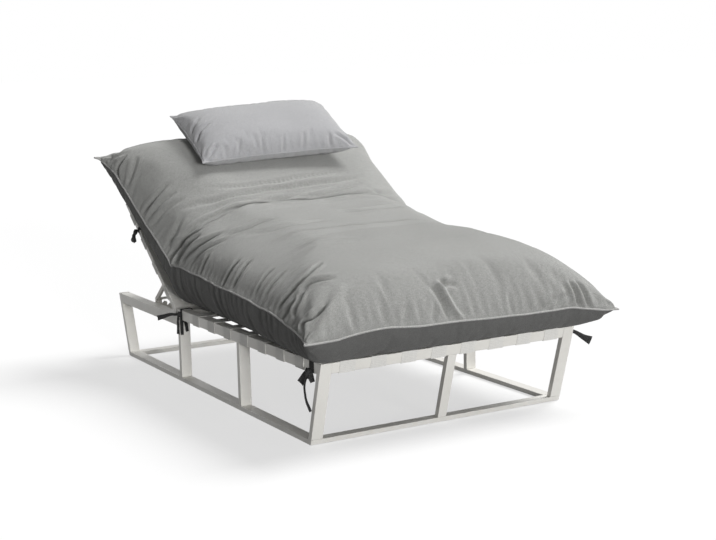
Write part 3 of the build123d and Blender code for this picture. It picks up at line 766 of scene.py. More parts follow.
def soft_grids(stations, rows, columns, place_of, bow):
    """The top and base grids of a sewn form, with where each point lies on the cloth."""
    places = even_places(stations, rows)
    half, seam, crown, under, rest, fullness, wider = (
        smooth_table(stations[:, 0], stations[:, k], places) for k in range(1, 8)
    )
    top, base = np.zeros((rows, columns, 3)), np.zeros((rows, columns, 3))
    side, across, lift = (np.zeros((rows, columns)) for _ in range(3))
    share = np.linspace(-1, 1, columns)
    near_end = np.exp(-np.minimum(places - places[0], places[-1] - places) / 0.10)
    inward = np.where(places < places.mean(), 1, -1)
    for j, place in enumerate(places):
        upper, length = top_line(half[j], seam[j], crown[j], columns, fullness[j])
        lower, _ = base_line(half[j], seam[j], under[j], rest[j], columns)
        pulled = place + bow * inward[j] * near_end[j] * (1 - np.abs(share) ** 3)
        origin, up = place_of(pulled)
        for grid, line in ((top, upper), (base, lower)):
            grid[j] = origin + up * line[:, 1:2]
            grid[j, :, 0] += line[:, 0] + wider[j] * np.maximum(line[:, 0] / half[j], 0) ** 2
        side[j] = (1 - np.abs(share)) * length / 2
        across[j] = share * length / 2
        lift[j] = lower[:, 1]
    along = np.repeat(places[:, None], columns, 1)
    rim = np.zeros((rows, columns), bool)
    rim[0], rim[-1], rim[:, 0], rim[:, -1] = True, True, True, True
    return {
        "top": top, "base": base, "side": side, "across": across, "place": along,
        "end": np.minimum(along - places[0], places[-1] - along), "lift": lift, "rim": rim,
    }


cushion = soft_grids(CUSHION_STATIONS, CUSHION_ROWS, CUSHION_COLUMNS, deck_place, CUSHION_BOW)
print("cushion rows", CUSHION_ROWS, "columns", CUSHION_COLUMNS)

# %% [markdown]
# First come the large forms: the foot end dips and lifts, the seam wanders a little, slow
# hills of filling lie under the top, and the top crowds into long folds over the hinge.

# %% Large folds of the cushion
# seed, place along the deck, slant, width, depth, from x, to x
HINGE_CREASES = [
    (11, 1.385, 0.02, 0.045, 0.010, -0.80, 0.50),
    (12, 1.510, -0.03, 0.034, 0.006, -0.80, 0.10),
    (13, 1.265, 0.05, 0.040, 0.005, -0.40, 0.80),
    (14, 1.130, 0.06, 0.040, 0.003, -0.70, 0.30),
]


def hinge_creases(x, place):
    """Long soft folds that cross the cushion where its top crowds together."""
    total = 0
    for seed, centre, slant, width, depth, low, high in HINGE_CREASES:
        wander = 0.022 * soft_noise(seed, x, 0 * x, 0.28) + slant * x
        reach = ease(x, low - 0.12, low + 0.12) * (1 - ease(x, high - 0.12, high + 0.12))
        total = total - depth * reach * np.exp(-(((place - centre - wander) / width) ** 2))
    return total


# depth and spacing of the slow and the small hills, of the waves of the seam, and of the
# pleats that the base panel makes where it hangs between the straps and the seam
SLOW_HILLS, SMALL_HILLS = (0.007, 0.26), (0.003, 0.11)
SHORT_WAVES, LONG_WAVES = (0.004, 0.10), (0.004, 0.19)
SIDE_PLEATS, END_PLEATS = (0.007, 0.066), (0.003, 0.09)


def shape_cushion(form):
    """Shift the cushion, wave its seam, and push the large folds into both grids."""
    x, place = form["across"], form["place"]
    foot = place - place.min()
    rise = np.interp(form["top"][..., 0], FOOT_SEAM_X, FOOT_SEAM_RISE) * np.exp(-foot / 0.14)
    wave = SHORT_WAVES[0] * soft_noise(
        33, form["top"][..., 0] + 2 * place, 0 * x, SHORT_WAVES[1])
    wave = wave + LONG_WAVES[0] * soft_noise(34, x, place, LONG_WAVES[1])
    wave = wave * np.exp(-np.minimum(form["side"], form["end"]) / 0.06)
    hills = SLOW_HILLS[0] * soft_noise(31, x, place, SLOW_HILLS[1])
    hills = hills + SMALL_HILLS[0] * soft_noise(32, x, place, SMALL_HILLS[1])
    fade = ease(np.minimum(form["side"], form["end"]), 0.0, 0.10)
    on_top = hills * fade + hinge_creases(x, place) * ease(form["side"], 0.0, 0.06)
    hangs = ease(form["lift"], 0.0, 0.05)
    drift = 1.5 * soft_noise(71, place, 0 * x, 0.13)
    pleats = SIDE_PLEATS[0] * np.sin(2 * math.pi * (place / SIDE_PLEATS[1] + drift))
    pleats = pleats * (0.55 + 0.45 * soft_noise(72, place, x, 0.10))
    pleats = pleats * (1 - 0.75 * ease(place, 1.35, 1.60))
    end_pleats = END_PLEATS[0] * soft_noise(73, form["base"][..., 0], 0 * x, END_PLEATS[1])
    at_ends = np.exp(-form["end"] / 0.05)
    below = hangs * (pleats * (1 - at_ends) + end_pleats * at_ends)
    inner = ~form["rim"]
    form["top"] = form["top"] + grid_normals(form["top"]) * (on_top * inner)[..., None]
    form["base"] = form["base"] - grid_normals(form["base"]) * (below * inner)[..., None]
    form["top"][..., 2] += rise + wave
    form["base"][..., 2] += (rise + wave) * hangs
    form["top"][form["rim"]] = form["base"][form["rim"]]
    for grid in (form["top"], form["base"]):
        grid[..., 0] += CUSHION_SHIFT


shape_cushion(cushion)

# %% [markdown]
# Both soft pieces are then sewn, filled and smoothed in the same way. The cushion's two panels
# get a cloth each, the base's painted darker as shade.


# %% Sew and fill
def sew_and_fill(name, form, materials, pressure, cap):
    """Sew both grids, fill them with the seam held, and subdivide. Returns piece and seam."""
    piece, top_index, base_index = sewn_mesh(name, form)
    rows, columns = form["rim"].shape
    held = form["rim"] | (form["lift"] < 0.0005)
    inflate(piece, base_index[held], pressure, cap)
    loop = [top_index[0, i] for i in range(columns)]
    loop += [top_index[j, -1] for j in range(1, rows)]
    loop += [top_index[-1, i] for i in range(columns - 2, -1, -1)]
    loop += [top_index[j, 0] for j in range(rows - 2, 0, -1)]
    seam_line = [piece.data.vertices[int(v)].co.copy() for v in loop]
    subdivide_once(piece)
    for material in materials:
        piece.data.materials.append(material)
    return piece, seam_line


# the base panel takes the darker cloth, whose shade is painted into its colour
long_cushion, cushion_seam = sew_and_fill(
    "long_cushion", cushion, (CUSHION_GREY, CUSHION_PAINTED_SHADE), pressure=4.0, cap=0.020)
print("cushion faces", len(long_cushion.data.polygons))

# %% [markdown]
# The fine folds are pressed into the finished cushion: puckers along the seam, creases that
# fan out from the corners and from the kink at the hinge, and single creases where the cloth
# is slack.

# %% Fine folds of the cushion
# depth, width and a line of places on the cloth: x, and the place along the deck
CUSHION_CREASES = [
    # long wrinkles where the top crowds together over the hinge
    (0.005, 0.014, (-0.47, 1.74), (-0.33, 1.70), (-0.15, 1.71), (0.06, 1.735), (0.35, 1.77)),
    (0.009, 0.015, (-0.62, 1.69), (-0.50, 1.642), (-0.39, 1.615), (-0.28, 1.622), (-0.16, 1.655),
     (0.04, 1.672), (0.20, 1.685), (0.42, 1.715)),
    (0.010, 0.017, (-0.64, 1.36), (-0.58, 1.295), (-0.50, 1.275), (-0.40, 1.30), (-0.27, 1.40),
     (-0.12, 1.50), (0.02, 1.56)),
    (0.008, 0.015, (-0.32, 1.33), (-0.16, 1.37), (-0.03, 1.42), (0.08, 1.48), (0.17, 1.54),
     (0.28, 1.60), (0.38, 1.65)),
    (0.009, 0.016, (-0.09, 1.25), (0.05, 1.32), (0.17, 1.38), (0.28, 1.43), (0.45, 1.54),
     (0.62, 1.66)),
    (0.007, 0.016, (-0.56, 1.03), (-0.50, 0.99), (-0.45, 0.97), (-0.39, 0.965), (-0.28, 0.95)),
    (0.008, 0.020, (0.00, 0.955), (0.10, 0.95), (0.20, 0.96), (0.30, 0.98), (0.46, 1.04)),
    (-0.005, 0.030, (-0.50, 0.74), (-0.40, 0.68), (-0.25, 0.66), (-0.09, 0.675), (0.10, 0.68),
     (0.42, 0.70)),
    (0.005, 0.020, (-0.52, 0.94), (-0.45, 0.885), (-0.38, 0.84), (-0.25, 0.825), (-0.07, 0.85)),
    (-0.004, 0.026, (-0.43, 0.55), (-0.30, 0.48), (-0.21, 0.46), (-0.12, 0.43)),
    # the left side of the backrest
    (0.009, 0.012, (-0.78, 1.835), (-0.70, 1.828), (-0.64, 1.835), (-0.56, 1.855)),
    (0.006, 0.012, (-0.77, 1.785), (-0.69, 1.778), (-0.62, 1.78), (-0.56, 1.79)),
    (0.005, 0.012, (-0.75, 1.722), (-0.67, 1.726), (-0.61, 1.726), (-0.54, 1.725)),
    (0.010, 0.012, (-0.78, 2.11), (-0.73, 2.135), (-0.685, 2.15), (-0.64, 2.155)),
    (0.008, 0.013, (-0.75, 2.02), (-0.69, 2.05), (-0.655, 2.073), (-0.61, 2.105)),
    (0.006, 0.013, (-0.79, 1.51), (-0.72, 1.55), (-0.66, 1.575), (-0.58, 1.615)),
    # the bunch that springs from the kink at the hinge
    (0.014, 0.013, (-0.80, 1.44), (-0.745, 1.435), (-0.685, 1.40), (-0.63, 1.31), (-0.57, 1.22)),
    (0.013, 0.012, (-0.80, 1.34), (-0.75, 1.35), (-0.70, 1.29), (-0.64, 1.22), (-0.59, 1.175)),
    (0.011, 0.012, (-0.77, 1.27), (-0.71, 1.21), (-0.655, 1.14), (-0.59, 1.085), (-0.52, 1.05)),
    (0.006, 0.012, (-0.74, 1.14), (-0.675, 1.08), (-0.62, 1.03), (-0.55, 0.965)),
    # short creases square to the left seam, and the long one across the left front
    (0.007, 0.012, (-0.77, 0.998), (-0.71, 0.998), (-0.65, 0.99)),
    (0.012, 0.011, (-0.78, 0.755), (-0.71, 0.743), (-0.67, 0.736), (-0.61, 0.734)),
    (0.008, 0.012, (-0.76, 0.658), (-0.69, 0.656), (-0.645, 0.656), (-0.58, 0.668)),
    (0.007, 0.012, (-0.74, 0.448), (-0.675, 0.454), (-0.63, 0.46), (-0.57, 0.47)),
    (0.006, 0.012, (-0.73, 0.364), (-0.67, 0.366), (-0.63, 0.366), (-0.57, 0.37)),
    (0.013, 0.011, (-0.76, 0.234), (-0.685, 0.212), (-0.62, 0.197), (-0.55, 0.206),
     (-0.45, 0.26)),
    # the left front corner
    (0.015, 0.012, (-0.73, 0.092), (-0.675, 0.10), (-0.62, 0.128)),
    (0.016, 0.012, (-0.76, -0.03), (-0.71, -0.012), (-0.665, -0.03), (-0.63, -0.033),
     (-0.57, -0.018)),
    (0.010, 0.013, (-0.76, 0.168), (-0.707, 0.142), (-0.655, 0.137)),
    (0.010, 0.015, (-0.64, 0.13), (-0.59, 0.145), (-0.54, 0.118), (-0.48, 0.085)),
    (-0.008, 0.022, (-0.48, 0.04), (-0.55, -0.02), (-0.62, -0.065), (-0.70, -0.10)),
    # along the front seam
    (-0.010, 0.012, (-0.095, -0.01), (-0.077, -0.055), (-0.062, -0.082), (-0.047, -0.10),
     (-0.02, -0.118)),
    (0.008, 0.013, (-0.13, -0.02), (-0.108, -0.066), (-0.096, -0.09), (-0.085, -0.112)),
    (0.009, 0.012, (-0.07, -0.005), (-0.045, -0.035), (0.005, -0.035)),
    (0.007, 0.010, (0.355, -0.115), (0.399, -0.102), (0.44, -0.093)),
    (0.006, 0.010, (0.41, -0.112), (0.453, -0.10), (0.50, -0.09)),
    (0.012, 0.010, (0.525, -0.055), (0.534, -0.088), (0.541, -0.115)),
    (0.012, 0.010, (0.56, -0.05), (0.577, -0.083), (0.588, -0.115)),
    (0.005, 0.012, (-0.30, -0.112), (-0.279, -0.097), (-0.245, -0.08)),
    (0.005, 0.012, (0.21, -0.115), (0.212, -0.096), (0.23, -0.072)),
    (0.005, 0.012, (-0.17, -0.112), (-0.14, -0.094), (-0.12, -0.07)),
]


def corner_folds(x, place, corner_x, corner_place, seed, depth, reach):
    """Creases that fan out from one corner of the cloth."""
    dx, dy = (x - corner_x) * -np.sign(corner_x), place - corner_place
    distance = np.hypot(dx, dy)
    turn = np.arctan2(np.abs(dy), np.maximum(dx, 1e-4))
    ridge = np.sin(turn * 13 + 2.4 * soft_noise(seed, turn, distance, 0.30))
    swell = ease(distance, 0.015, 0.08) * (1 - ease(distance, reach * 0.35, reach))
    return depth * ridge * swell


def fine_folds(piece, form, creases, corners, spacing, depth, seed):
    """Press puckers, corner folds and drawn creases into a subdivided piece."""
    where, edges = points_of(piece.data, "where"), points_of(piece.data, "edges")
    x, place, panel = where.T
    middle = form["top"].shape[1] // 2
    places = form["place"][:, middle]
    run = distance_along(form["top"][:, middle])
    lines = [(line[0], line[1], *((at, np.interp(along, places, run)) for at, along in line[2:]))
             for line in creases]
    side, end = edges[:, 0], edges[:, 1]
    upper = ease(panel, 0.0, 1.0)
    lower = ease(-panel, 0.0, 1.0)
    folds = puckers(seed, place, side, spacing, depth, spacing)
    folds = folds + puckers(seed + 10, x, end, spacing * 1.1, depth, spacing)
    for number, (corner_x, corner_place, reach) in enumerate(corners):
        folds = folds + corner_folds(x, place, corner_x, corner_place, seed + 20 + number,
                                     depth * 1.2, reach)
    press(piece, folds * (upper + 0.5 * lower)
          + 1.1 * drawn_creases(x, np.interp(place, places, run), lines, seed + 40) * upper)


half_cloth = cushion["across"].max()
cushion_ends = CUSHION_STATIONS[[0, -1], 0]
fine_folds(
    long_cushion, cushion, CUSHION_CREASES,
    [(sx * half_cloth, end, 0.30) for sx in (-1, 1) for end in cushion_ends],
    spacing=0.046, depth=0.0036, seed=41)
print("pressed", len(CUSHION_CREASES), "creases into the cushion")

UP = np.array([0, 0, 1.0])
SEAT_START = np.array([0, DECK_FRONT, DECK_TOP])
BACK_START = np.array(hinge) + BACK_TOP * BACK_NORMAL
# half the width that carries the cloth, the length of it on the backrest, and what is left
# out before the hinge
FRAME_HALF, BACK_LENGTH, HINGE_GAP = 0.60, 0.726, 0.02
AHEAD = np.array([0, 1.0, 0])
rest_on(long_cushion, SEAT_START, AHEAD, UP, KINK_PLACE - HINGE_GAP, FRAME_HALF)
rest_on(long_cushion, BACK_START, BACK_DIRECTION, BACK_NORMAL, BACK_LENGTH, FRAME_HALF)

# %% [markdown]
# ## Piping
# A cord wrapped in lighter cloth is sewn into the seam. A curve with a round bevel could make
# it too, but not with a UV map in metres, so rings of points are set along the seam instead.
# The piping dips and turns with every wave of the seam, and its weave runs along it.


# %% Piping
def piping(name, line, radius, material):
    """A closed round cord along a seam, with a UV map that runs along it."""
    points = np.array(line)
    count, sides = len(points), 8
    ahead = np.roll(points, -1, 0) - np.roll(points, 1, 0)
    ahead /= np.linalg.norm(ahead, axis=1, keepdims=True)
    up = np.cross(ahead, np.cross(np.array([0, 0, 1.0]), ahead))
    up /= np.linalg.norm(up, axis=1, keepdims=True)
    right = np.cross(ahead, up)
    run = distance_along(points)
    thick = radius * (1 + 0.10 * soft_noise(91, run, 0 * run, 0.03))
    turn = np.linspace(0, 2 * math.pi, sides, endpoint=False)
    rings = points[:, None] + thick[:, None, None] * (
        np.cos(turn)[None, :, None] * up[:, None] + np.sin(turn)[None, :, None] * right[:, None])
    faces, uvs = [], []
    around, closing_step = 2 * math.pi * radius / sides, 0.012
    for j in range(count):
        after = (j + 1) % count
        end = run[after] if after else run[j] + closing_step
        for i in range(sides):
            beside = (i + 1) % sides
            faces.append([j * sides + i, j * sides + beside, after * sides + beside,
                          after * sides + i])
            uvs += [(i * around, run[j]), ((i + 1) * around, run[j]), ((i + 1) * around, end),
                    (i * around, end)]
    piece = cloth_object(name, rings.reshape(-1, 3), faces, uvs)
    piece.data.materials.append(material)
    return piece


cushion_piping = piping("cushion_piping", cushion_seam, radius=0.0041, material=PIPING_GREY)
print("piping length", round(float(distance_along(np.array(cushion_seam))[-1]), 2))

# %% [markdown]
# ## The head pillow
# A plain pillow with its own piping lies loose on the crown of the cushion and rides with
# the backrest. It is shaped, sewn, filled and creased like the cushion.

# %% The pillow and its piping
# its middle, the way along it, up from it and across it, then stations as for the cushion
PILLOW_CENTRE = np.array([0.0032, 0.6656, 1.0437])
PILLOW_ALONG = np.array([0.0173, 0.8862, 0.4630])
PILLOW_UP = np.array([-0.0524, -0.4616, 0.8855])
PILLOW_ACROSS = np.array([0.9985, -0.0396, 0.0385])
PILLOW_STATIONS = np.array([
    (-0.218, 0.400, 0.070, 0.070, 0.070, 0.290, 3.5, 0.014),
    (-0.198, 0.393, 0.070, 0.109, 0.034, 0.290, 3.5, 0.014),
    (-0.155, 0.388, 0.071, 0.139, 0.010, 0.290, 3.5, 0.014),
    (-0.080, 0.384, 0.072, 0.160, 0.000, 0.290, 3.5, 0.012),
    (0.000, 0.382, 0.072, 0.168, 0.000, 0.290, 3.5, 0.012),
    (0.080, 0.384, 0.072, 0.163, 0.000, 0.290, 3.5, 0.010),
    (0.155, 0.388, 0.071, 0.143, 0.010, 0.290, 3.5, 0.006),
    (0.198, 0.393, 0.070, 0.110, 0.034, 0.290, 3.5, 0.0),
    (0.218, 0.400, 0.070, 0.070, 0.070, 0.290, 3.5, 0.0),
])


def pillow_place(place):
    """The point under the pillow at a place along it, and the way up from it."""
    place = np.asarray(place, float)
    return PILLOW_CENTRE + place[..., None] * PILLOW_ALONG, PILLOW_UP + 0 * place[..., None]


def shape_pillow(form):
    """Turn the pillow level with its place and push soft hills into its top."""
    x, place = form["across"], form["place"]
    for grid in (form["top"], form["base"]):
        out = grid[..., 0] - (PILLOW_CENTRE + place[..., None] * PILLOW_ALONG)[..., 0]
        grid += out[..., None] * (PILLOW_ACROSS - np.array([1.0, 0, 0]))
    wave = 0.003 * soft_noise(133, form["top"][..., 0] + 2 * place, 0 * x, 0.08)
    wave = wave * np.exp(-np.minimum(form["side"], form["end"]) / 0.04)
    fade = ease(np.minimum(form["side"], form["end"]), 0.0, 0.06) * ~form["rim"]
    hills = (0.006 * soft_noise(131, x, place, 0.16) * fade)[..., None]
    form["top"] = form["top"] + grid_normals(form["top"]) * hills + wave[..., None] * PILLOW_UP
    form["base"] = form["base"] + wave[..., None] * PILLOW_UP * form["rim"][..., None]


PILLOW_ROWS, PILLOW_COLUMNS, PILLOW_BOW = 57, 101, 0.016
pillow = soft_grids(PILLOW_STATIONS, PILLOW_ROWS, PILLOW_COLUMNS, pillow_place, PILLOW_BOW)
shape_pillow(pillow)
head_pillow, pillow_seam = sew_and_fill(
    "soft_head_pillow", pillow, (PILLOW_GREY, PILLOW_GREY), pressure=3.0, cap=0.008)
half_pillow = pillow["across"].max()
PILLOW_CREASES = [
    (0.007, 0.010, (-0.40, -0.075), (-0.36, -0.037), (-0.33, -0.024), (-0.28, -0.012)),
    (0.005, 0.010, (-0.40, 0.00), (-0.355, 0.032), (-0.31, 0.058)),
    (0.006, 0.009, (-0.375, -0.215), (-0.337, -0.184), (-0.30, -0.155)),
    (0.004, 0.008, (-0.22, -0.22), (-0.206, -0.195), (-0.185, -0.155)),
    (0.003, 0.009, (-0.08, -0.22), (-0.08, -0.187), (-0.075, -0.15)),
    (0.003, 0.008, (0.022, -0.22), (0.029, -0.19), (0.035, -0.155)),
    (0.003, 0.008, (0.123, -0.22), (0.129, -0.191), (0.14, -0.15)),
    (0.005, 0.008, (0.267, -0.225), (0.265, -0.197), (0.273, -0.155)),
    (0.006, 0.010, (0.375, -0.21), (0.34, -0.18), (0.29, -0.16)),
]
pillow_ends = PILLOW_STATIONS[[0, -1], 0]
fine_folds(
    head_pillow, pillow, PILLOW_CREASES,
    [(sx * half_pillow, end, 0.16) for sx in (-1, 1) for end in pillow_ends],
    spacing=0.034, depth=0.0018, seed=141)
pillow_piping = piping("pillow_piping", pillow_seam, radius=0.0028, material=PILLOW_GREY)
print("pillow faces", len(head_pillow.data.polygons))

# %% [markdown]
# ## The ties
# Six dark ribbons hold the cushion to the frame. Each goes once round a tube, is knotted on
# the outside and hangs down in loose ends. Simulated ribbons would fall in ways that are hard
# to foresee, so each end follows a few listed points. A ribbon is a thin strip swept along a
# smooth line, turned by directions that say where its width lies.


# %% Ribbons and knots
RIBBON_STEP, RIBBON_HALF, RIBBON_COLUMNS = 0.004, 0.0006, 7


def ribbon(points, widths, across, seed, closed=False):
    """Points, faces and UVs of a thin woven strip along a smooth line."""
    table = np.concatenate([points, across, np.array(widths)[:, None]], 1)
    if closed:
        table = np.concatenate([table, table[:1]])
    run = distance_along(table[:, :3])
    count = max(8, int(run[-1] / RIBBON_STEP))
    at = np.linspace(0, run[-1], count)
    line = np.stack([smooth_table(run, table[:, k], at) for k in range(7)], 1)
    centre, side, width = line[:, :3], line[:, 3:6], line[:, 6]
    ahead = np.gradient(centre, axis=0)
    ahead /= np.linalg.norm(ahead, axis=1, keepdims=True)
    side = side - (side * ahead).sum(1, keepdims=True) * ahead
    side /= np.linalg.norm(side, axis=1, keepdims=True)
    out = np.cross(side, ahead)
    share = np.linspace(-0.5, 0.5, RIBBON_COLUMNS)
    slack = 0.2 if closed else 1.0
    cup = 0.10 * slack * width[:, None] * (share[None] ** 2 * 4 - 0.5)
    wave = 0.0016 * slack * soft_noise(
        seed, at[:, None] + 0 * share, share[None] * 0.02 + 0 * at[:, None], 0.012)
    middle = centre[:, None] + share[None, :, None] * width[:, None, None] * side[:, None]
    middle = middle + (cup + wave)[..., None] * out[:, None]
    upper, lower = middle + RIBBON_HALF * out[:, None], middle - RIBBON_HALF * out[:, None]
    points = np.concatenate([upper, lower[:, ::-1]], 1)
    ring, around = points.shape[1], np.concatenate([share, share[::-1]])
    faces, uvs = [], []
    for j in range(count - 1):
        for i in range(ring):
            beside = (i + 1) % ring
            faces.append([j * ring + i, j * ring + beside, (j + 1) * ring + beside,
                          (j + 1) * ring + i])
            uvs += [(around[ii] * width[jj], at[jj])
                    for jj, ii in ((j, i), (j, beside), (j + 1, beside), (j + 1, i))]
    for j, order in ((0, range(ring - 1, -1, -1)), (count - 1, range(ring))):
        faces.append([j * ring + i for i in order])
        uvs += [(around[i] * 0.02, at[j]) for i in order]
    return points.reshape(-1, 3), faces, uvs


def knot(centre, size, seed):
    """Points, faces and UVs of a small lump with the grooves of a pulled knot."""
    rows, columns = 13, 20
    polar = np.linspace(0, math.pi, rows)[1:-1]
    turn = np.linspace(0, 2 * math.pi, columns, endpoint=False)
    polar, turn = np.meshgrid(polar, turn, indexing="ij")
    bulge = 1 + 0.16 * np.cos(3 * turn + 2.2 * polar) + 0.10 * soft_noise(seed, polar, turn, 0.7)
    shell = np.stack([np.sin(polar) * np.cos(turn), np.sin(polar) * np.sin(turn), np.cos(polar)], 2)
    shell = (shell * bulge[..., None] * np.array(size)).reshape(-1, 3)
    poles = np.array([[0, 0, 1.0], [0, 0, -1.0]]) * np.array(size)
    points = np.concatenate([shell, poles]) + np.array(centre)
    faces, uvs, cell = [], [], 0.002
    last = (rows - 3) * columns
    for i in range(columns):
        beside, u = (i + 1) % columns, cell * i
        for j in range(rows - 3):
            faces.append([j * columns + i, (j + 1) * columns + i, (j + 1) * columns + beside,
                          j * columns + beside])
            v = cell * j
            uvs += [(u, v), (u, v + cell), (u + cell, v + cell), (u + cell, v)]
        faces += [[i, beside, len(shell)], [last + beside, last + i, len(shell) + 1]]
        uvs += [(u, 0), (u + cell, 0), (u, -cell)]
        uvs += [(u + cell, 10 * cell), (u, 10 * cell), (u, 11 * cell)]
    return points, faces, uvs


def join_parts(name, parts, material):
    """One mesh object from several point, face and UV lists."""
    points, faces, uvs, start = [], [], [], 0
    for part_points, part_faces, part_uvs in parts:
        points.append(part_points)
        faces += [[start + v for v in face] for face in part_faces]
        uvs += part_uvs
        start += len(part_points)
    piece = cloth_object(name, np.concatenate(points), faces, uvs)
    piece.data.materials.append(material)
    return piece

# %% [markdown]
# The front and the hinge ties are round the seat rails, and the back ties are round the side
# tubes of the backrest. The left and right ties mirror each other, apart from the loose ends
# in front.

# %% Six ties
# the inner and outer side, underside and top of a band round a rail, half the height of one
# round a side tube, its round corners, and how loosely it goes round
TUBE_IN, TUBE_OUT = 0.549, 0.601
RAIL_LOW, RAIL_TOP = 0.2945, 0.3455
BAND_HALF, ROUND, BAND_EASE = 0.0132, 0.004, 1.012
BACK_TIE_ALONG, BACK_KNOT_X, BACK_KNOT_DROP = 0.538, 0.6135, 0.010
HINGE_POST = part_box("left_hinge_post")[0].y
# node, place of the band along its tube, its width, knot, its size, then the loose ends: each
# a list of outward x, y and z with the width there, and the direction across its width
TIES = {
    "front_tie": (-0.936, 0.036, (0.6095, -0.920, 0.290), (0.010, 0.019, 0.020), [
        ([(0.612, -0.918, 0.300, 0.016), (0.619, -0.898, 0.272, 0.022),
          (0.622, -0.880, 0.246, 0.032)], (0.3, 0.8, 0.5)),
        ([(0.606, -0.935, 0.298, 0.016), (0.605, -0.938, 0.276, 0.022),
          (0.600, -0.940, 0.258, 0.018)], (1.0, 0.4, 0.1)),
        ([(0.611, -0.922, 0.296, 0.010), (0.618, -0.905, 0.235, 0.009),
          (0.617, -0.913, 0.190, 0.010), (0.612, -0.940, 0.145, 0.012)], (0.5, 0.8, 0.0)),
    ]),
    "hinge_tie": (0.318, 0.020, (0.6085, 0.322, 0.322), (0.008, 0.014, 0.012), [
        ([(0.611, 0.335, 0.320, 0.012), (0.622, 0.390, 0.313, 0.015),
          (0.640, 0.440, 0.297, 0.020), (0.655, 0.475, 0.286, 0.024)], (0.2, 0.1, 1.0)),
        ([(0.611, 0.326, 0.322, 0.014), (0.613, 0.330, 0.280, 0.016),
          (0.613, 0.334, 0.228, 0.017)], (0.3, 1.0, 0.0)),
        ([(0.601, HINGE_POST - 0.016, 0.330, 0.012), (0.594, HINGE_POST - 0.010, 0.285, 0.014),
          (0.593, HINGE_POST - 0.006, 0.222, 0.013)], (1.0, 0.0, 0.0)),
        ([(0.588, HINGE_POST - 0.008, 0.300, 0.012), (0.573, HINGE_POST - 0.009, 0.270, 0.014),
          (0.567, HINGE_POST - 0.007, 0.236, 0.013)], (1.0, 0.0, 0.1)),
    ]),
}
TIE_RIGHT_FRONT = [
    ([(0.611, -0.950, 0.316, 0.012), (0.640, -0.966, 0.302, 0.016),
      (0.670, -0.985, 0.280, 0.024), (0.697, -1.000, 0.264, 0.038)], (0.3, 0.1, 1.0)),
    ([(0.611, -0.930, 0.305, 0.014), (0.616, -0.925, 0.270, 0.018),
      (0.618, -0.918, 0.220, 0.022)], (0.0, 1.0, 0.1)),
]


def band(corners, across, width, seed):
    """A ribbon round a tube, through rounded corners."""
    centre = np.mean(corners, axis=0)
    path = []
    for index, corner in enumerate(corners):
        before, after = corners[index - 1], corners[(index + 1) % len(corners)]
        for other in (before, after):
            path.append(corner + (other - corner) * ROUND / np.linalg.norm(other - corner))
    path = centre + (np.array(path) - centre) * BAND_EASE
    return ribbon(path, [width] * len(path), np.array([across] * len(path)), seed, closed=True)


def mirrored(points, sign):
    """Tie points given for the outside of the right tube, on either side."""
    return np.array([(sign * p[0], *p[1:3]) for p in points])


ties = []
for side, sign in (("left", -1), ("right", 1)):
    for label, (place, width, knot_centre, knot_size, ends) in TIES.items():
        if label == "front_tie" and side == "right":
            ends = TIE_RIGHT_FRONT
        loop = [(sign * x, place, z) for x, z in (
            (TUBE_IN, RAIL_LOW), (TUBE_OUT, RAIL_LOW), (TUBE_OUT, RAIL_TOP), (TUBE_IN, RAIL_TOP))]
        parts = [band(np.array(loop), (0, 1.0, 0), width, 201),
                 knot((sign * knot_centre[0], *knot_centre[1:]), knot_size, 211)]
        for number, (run, width_axis) in enumerate(ends):
            axis = np.array([(sign * width_axis[0], *width_axis[1:])] * len(run))
            parts.append(ribbon(mirrored(run, sign), [p[3] for p in run], axis, 220 + number))
        piece = join_parts(f"soft_{side}_{label}", parts, TIE_GREY)
        ties.append((piece, f"{side}_{label}", "base"))
    middle = np.array(hinge) + BACK_TIE_ALONG * BACK_DIRECTION
    loop = [np.array([sign * x, *(middle + z * BACK_NORMAL)[1:]]) for x, z in (
        (TUBE_IN, -BAND_HALF), (TUBE_OUT, -BAND_HALF), (TUBE_OUT, BAND_HALF),
        (TUBE_IN, BAND_HALF))]
    spot = np.array([sign * BACK_KNOT_X, *(middle - BACK_KNOT_DROP * BACK_NORMAL)[1:]])
    drop = [spot + np.array([sign * dx, dy, dz]) for dx, dy, dz in (
        (0.000, 0.000, 0.000), (0.010, 0.002, -0.016), (0.014, -0.002, -0.034))]
    parts = [band(np.array(loop), tuple(BACK_DIRECTION), 0.018, 202),
             knot(spot, (0.010, 0.014, 0.013), 212),
             knot(drop[2], (0.010, 0.015, 0.013), 213)]
    parts.append(ribbon(drop, [0.012, 0.022, 0.026], np.array([(0, 1.0, 0.2)] * 3), 231))
    drop = [point + index * np.array([0, -0.012, -0.006]) for index, point in enumerate(drop)]
    parts.append(ribbon(drop, [0.012, 0.018, 0.022], np.array([(0.3 * sign, 1.0, -0.3)] * 3), 232))
    piece = join_parts(f"soft_{side}_back_tie", parts, TIE_GREY)
    ties.append((piece, f"{side}_back_tie", "backrest"))
print("ties", len(ties))

# %% [markdown]
# ## What moves with what
# The cushion and its piping keep their place. The pillow rides on the backrest, and each tie
# on the tube that it is knotted to.

# %% Bodies of the soft pieces
for piece in (long_cushion, cushion_piping):
    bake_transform(piece)
for piece in (head_pillow, pillow_piping):
    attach(piece, "backrest")
for piece, node, body in ties:
    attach(piece, body)
    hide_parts(node)
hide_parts("cushion_seat_part", "cushion_fold", "cushion_back_part")
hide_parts("head_pillow")
print("soft pieces", [p.name for p in (long_cushion, cushion_piping, head_pillow, pillow_piping)],
      "and", len(ties), "ties")

# %% [markdown]
# ## Floor
# The floor is a plain grey that turns white where the camera sees it, and it keeps the
# object's shadow.


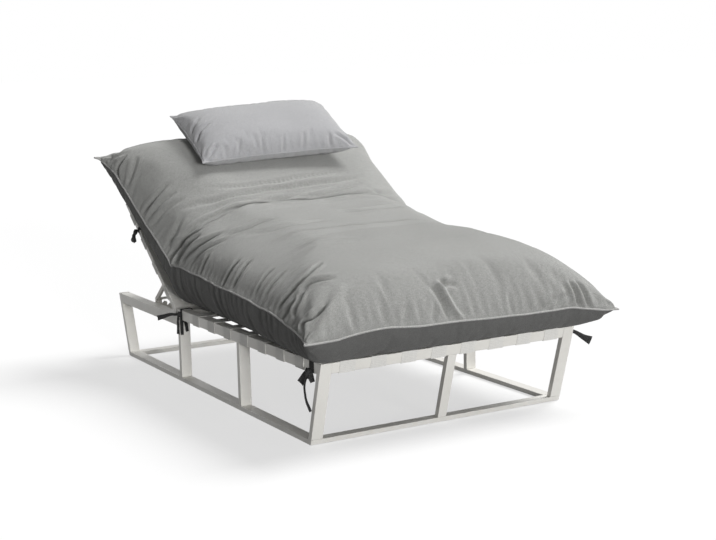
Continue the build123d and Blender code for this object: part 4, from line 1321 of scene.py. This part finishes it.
# %% Floor
def seen_directly(tree):
    """1 for rays of the camera and of shiny or clear surfaces, 0 for all others."""
    path = add_node(tree, "ShaderNodeLightPath")
    total = math_node(tree, "ADD", path.outputs["Is Camera Ray"], path.outputs["Is Glossy Ray"])
    return math_node(tree, "ADD", total, path.outputs["Is Transmission Ray"], clamp=True)


FLOOR_SIZE, FLOOR_DROP, GLOW_SHARE = 120, 0.0005, 0.62
bpy.ops.mesh.primitive_plane_add(size=FLOOR_SIZE, location=(0, 0, -FLOOR_DROP))
floor = bpy.context.object
floor.name = "floor"
floor_material, floor_tree, floor_shader = new_material("floor_pale")
set_inputs(floor_tree, floor_shader, {
    "Base Color": (0.20, 0.20, 0.20, 1), "Roughness": 0.9, "Specular IOR Level": 0.0})
pale = add_node(floor_tree, "ShaderNodeBsdfDiffuse", inputs={"Color": (1, 1, 1, 1)})
glow = add_node(floor_tree, "ShaderNodeEmission", inputs={"Strength": 1.0})
shown = add_node(floor_tree, "ShaderNodeMixShader", inputs={
    0: GLOW_SHARE, 1: pale.outputs[0], 2: glow.outputs[0]})
chosen = add_node(floor_tree, "ShaderNodeMixShader", inputs={
    0: seen_directly(floor_tree), 1: floor_shader.outputs[0], 2: shown.outputs[0]})
floor_tree.links.new(chosen.outputs[0], floor_tree.nodes["Material Output"].inputs[0])
floor.data.materials.append(floor_material)
floor.select_set(False)
print("floor", FLOOR_SIZE, "m wide")

# %% [markdown]
# ## Light
# The key lamp stands high on the right. A weaker one stands low in front and lights the posts
# under the deck. The sky fills evenly, and where the camera or a shiny surface sees it, it is
# white.

# %% Light
world = bpy.data.worlds.new("sky")
scene.world = world
world.use_nodes = True
sky_tree = world.node_tree
SKY_FILL = 0.21
strength = math_node(sky_tree, "MULTIPLY_ADD", seen_directly(sky_tree), 1 - SKY_FILL, SKY_FILL)
set_inputs(sky_tree, sky_tree.nodes["Background"], {"Color": (1, 1, 1, 1), "Strength": strength})


def sun_lamp(name, towards, strength, spread):
    """An even lamp that stands far off in one direction, with soft shadows."""
    data = bpy.data.lights.new(name, "SUN")
    data.energy, data.angle = strength, math.radians(spread)
    lamp = bpy.data.objects.new(name, data)
    scene.collection.objects.link(lamp)
    lamp.location = Vector(towards) * 6
    lamp.rotation_euler = (-Vector(towards)).to_track_quat("-Z", "Y").to_euler()


sun_lamp("key", towards=(0.56, -0.02, 0.82), strength=2.92, spread=30)
sun_lamp("low front", towards=(-0.08, -0.97, 0.10), strength=2.1, spread=15)

scene.view_settings.view_transform = "Standard"
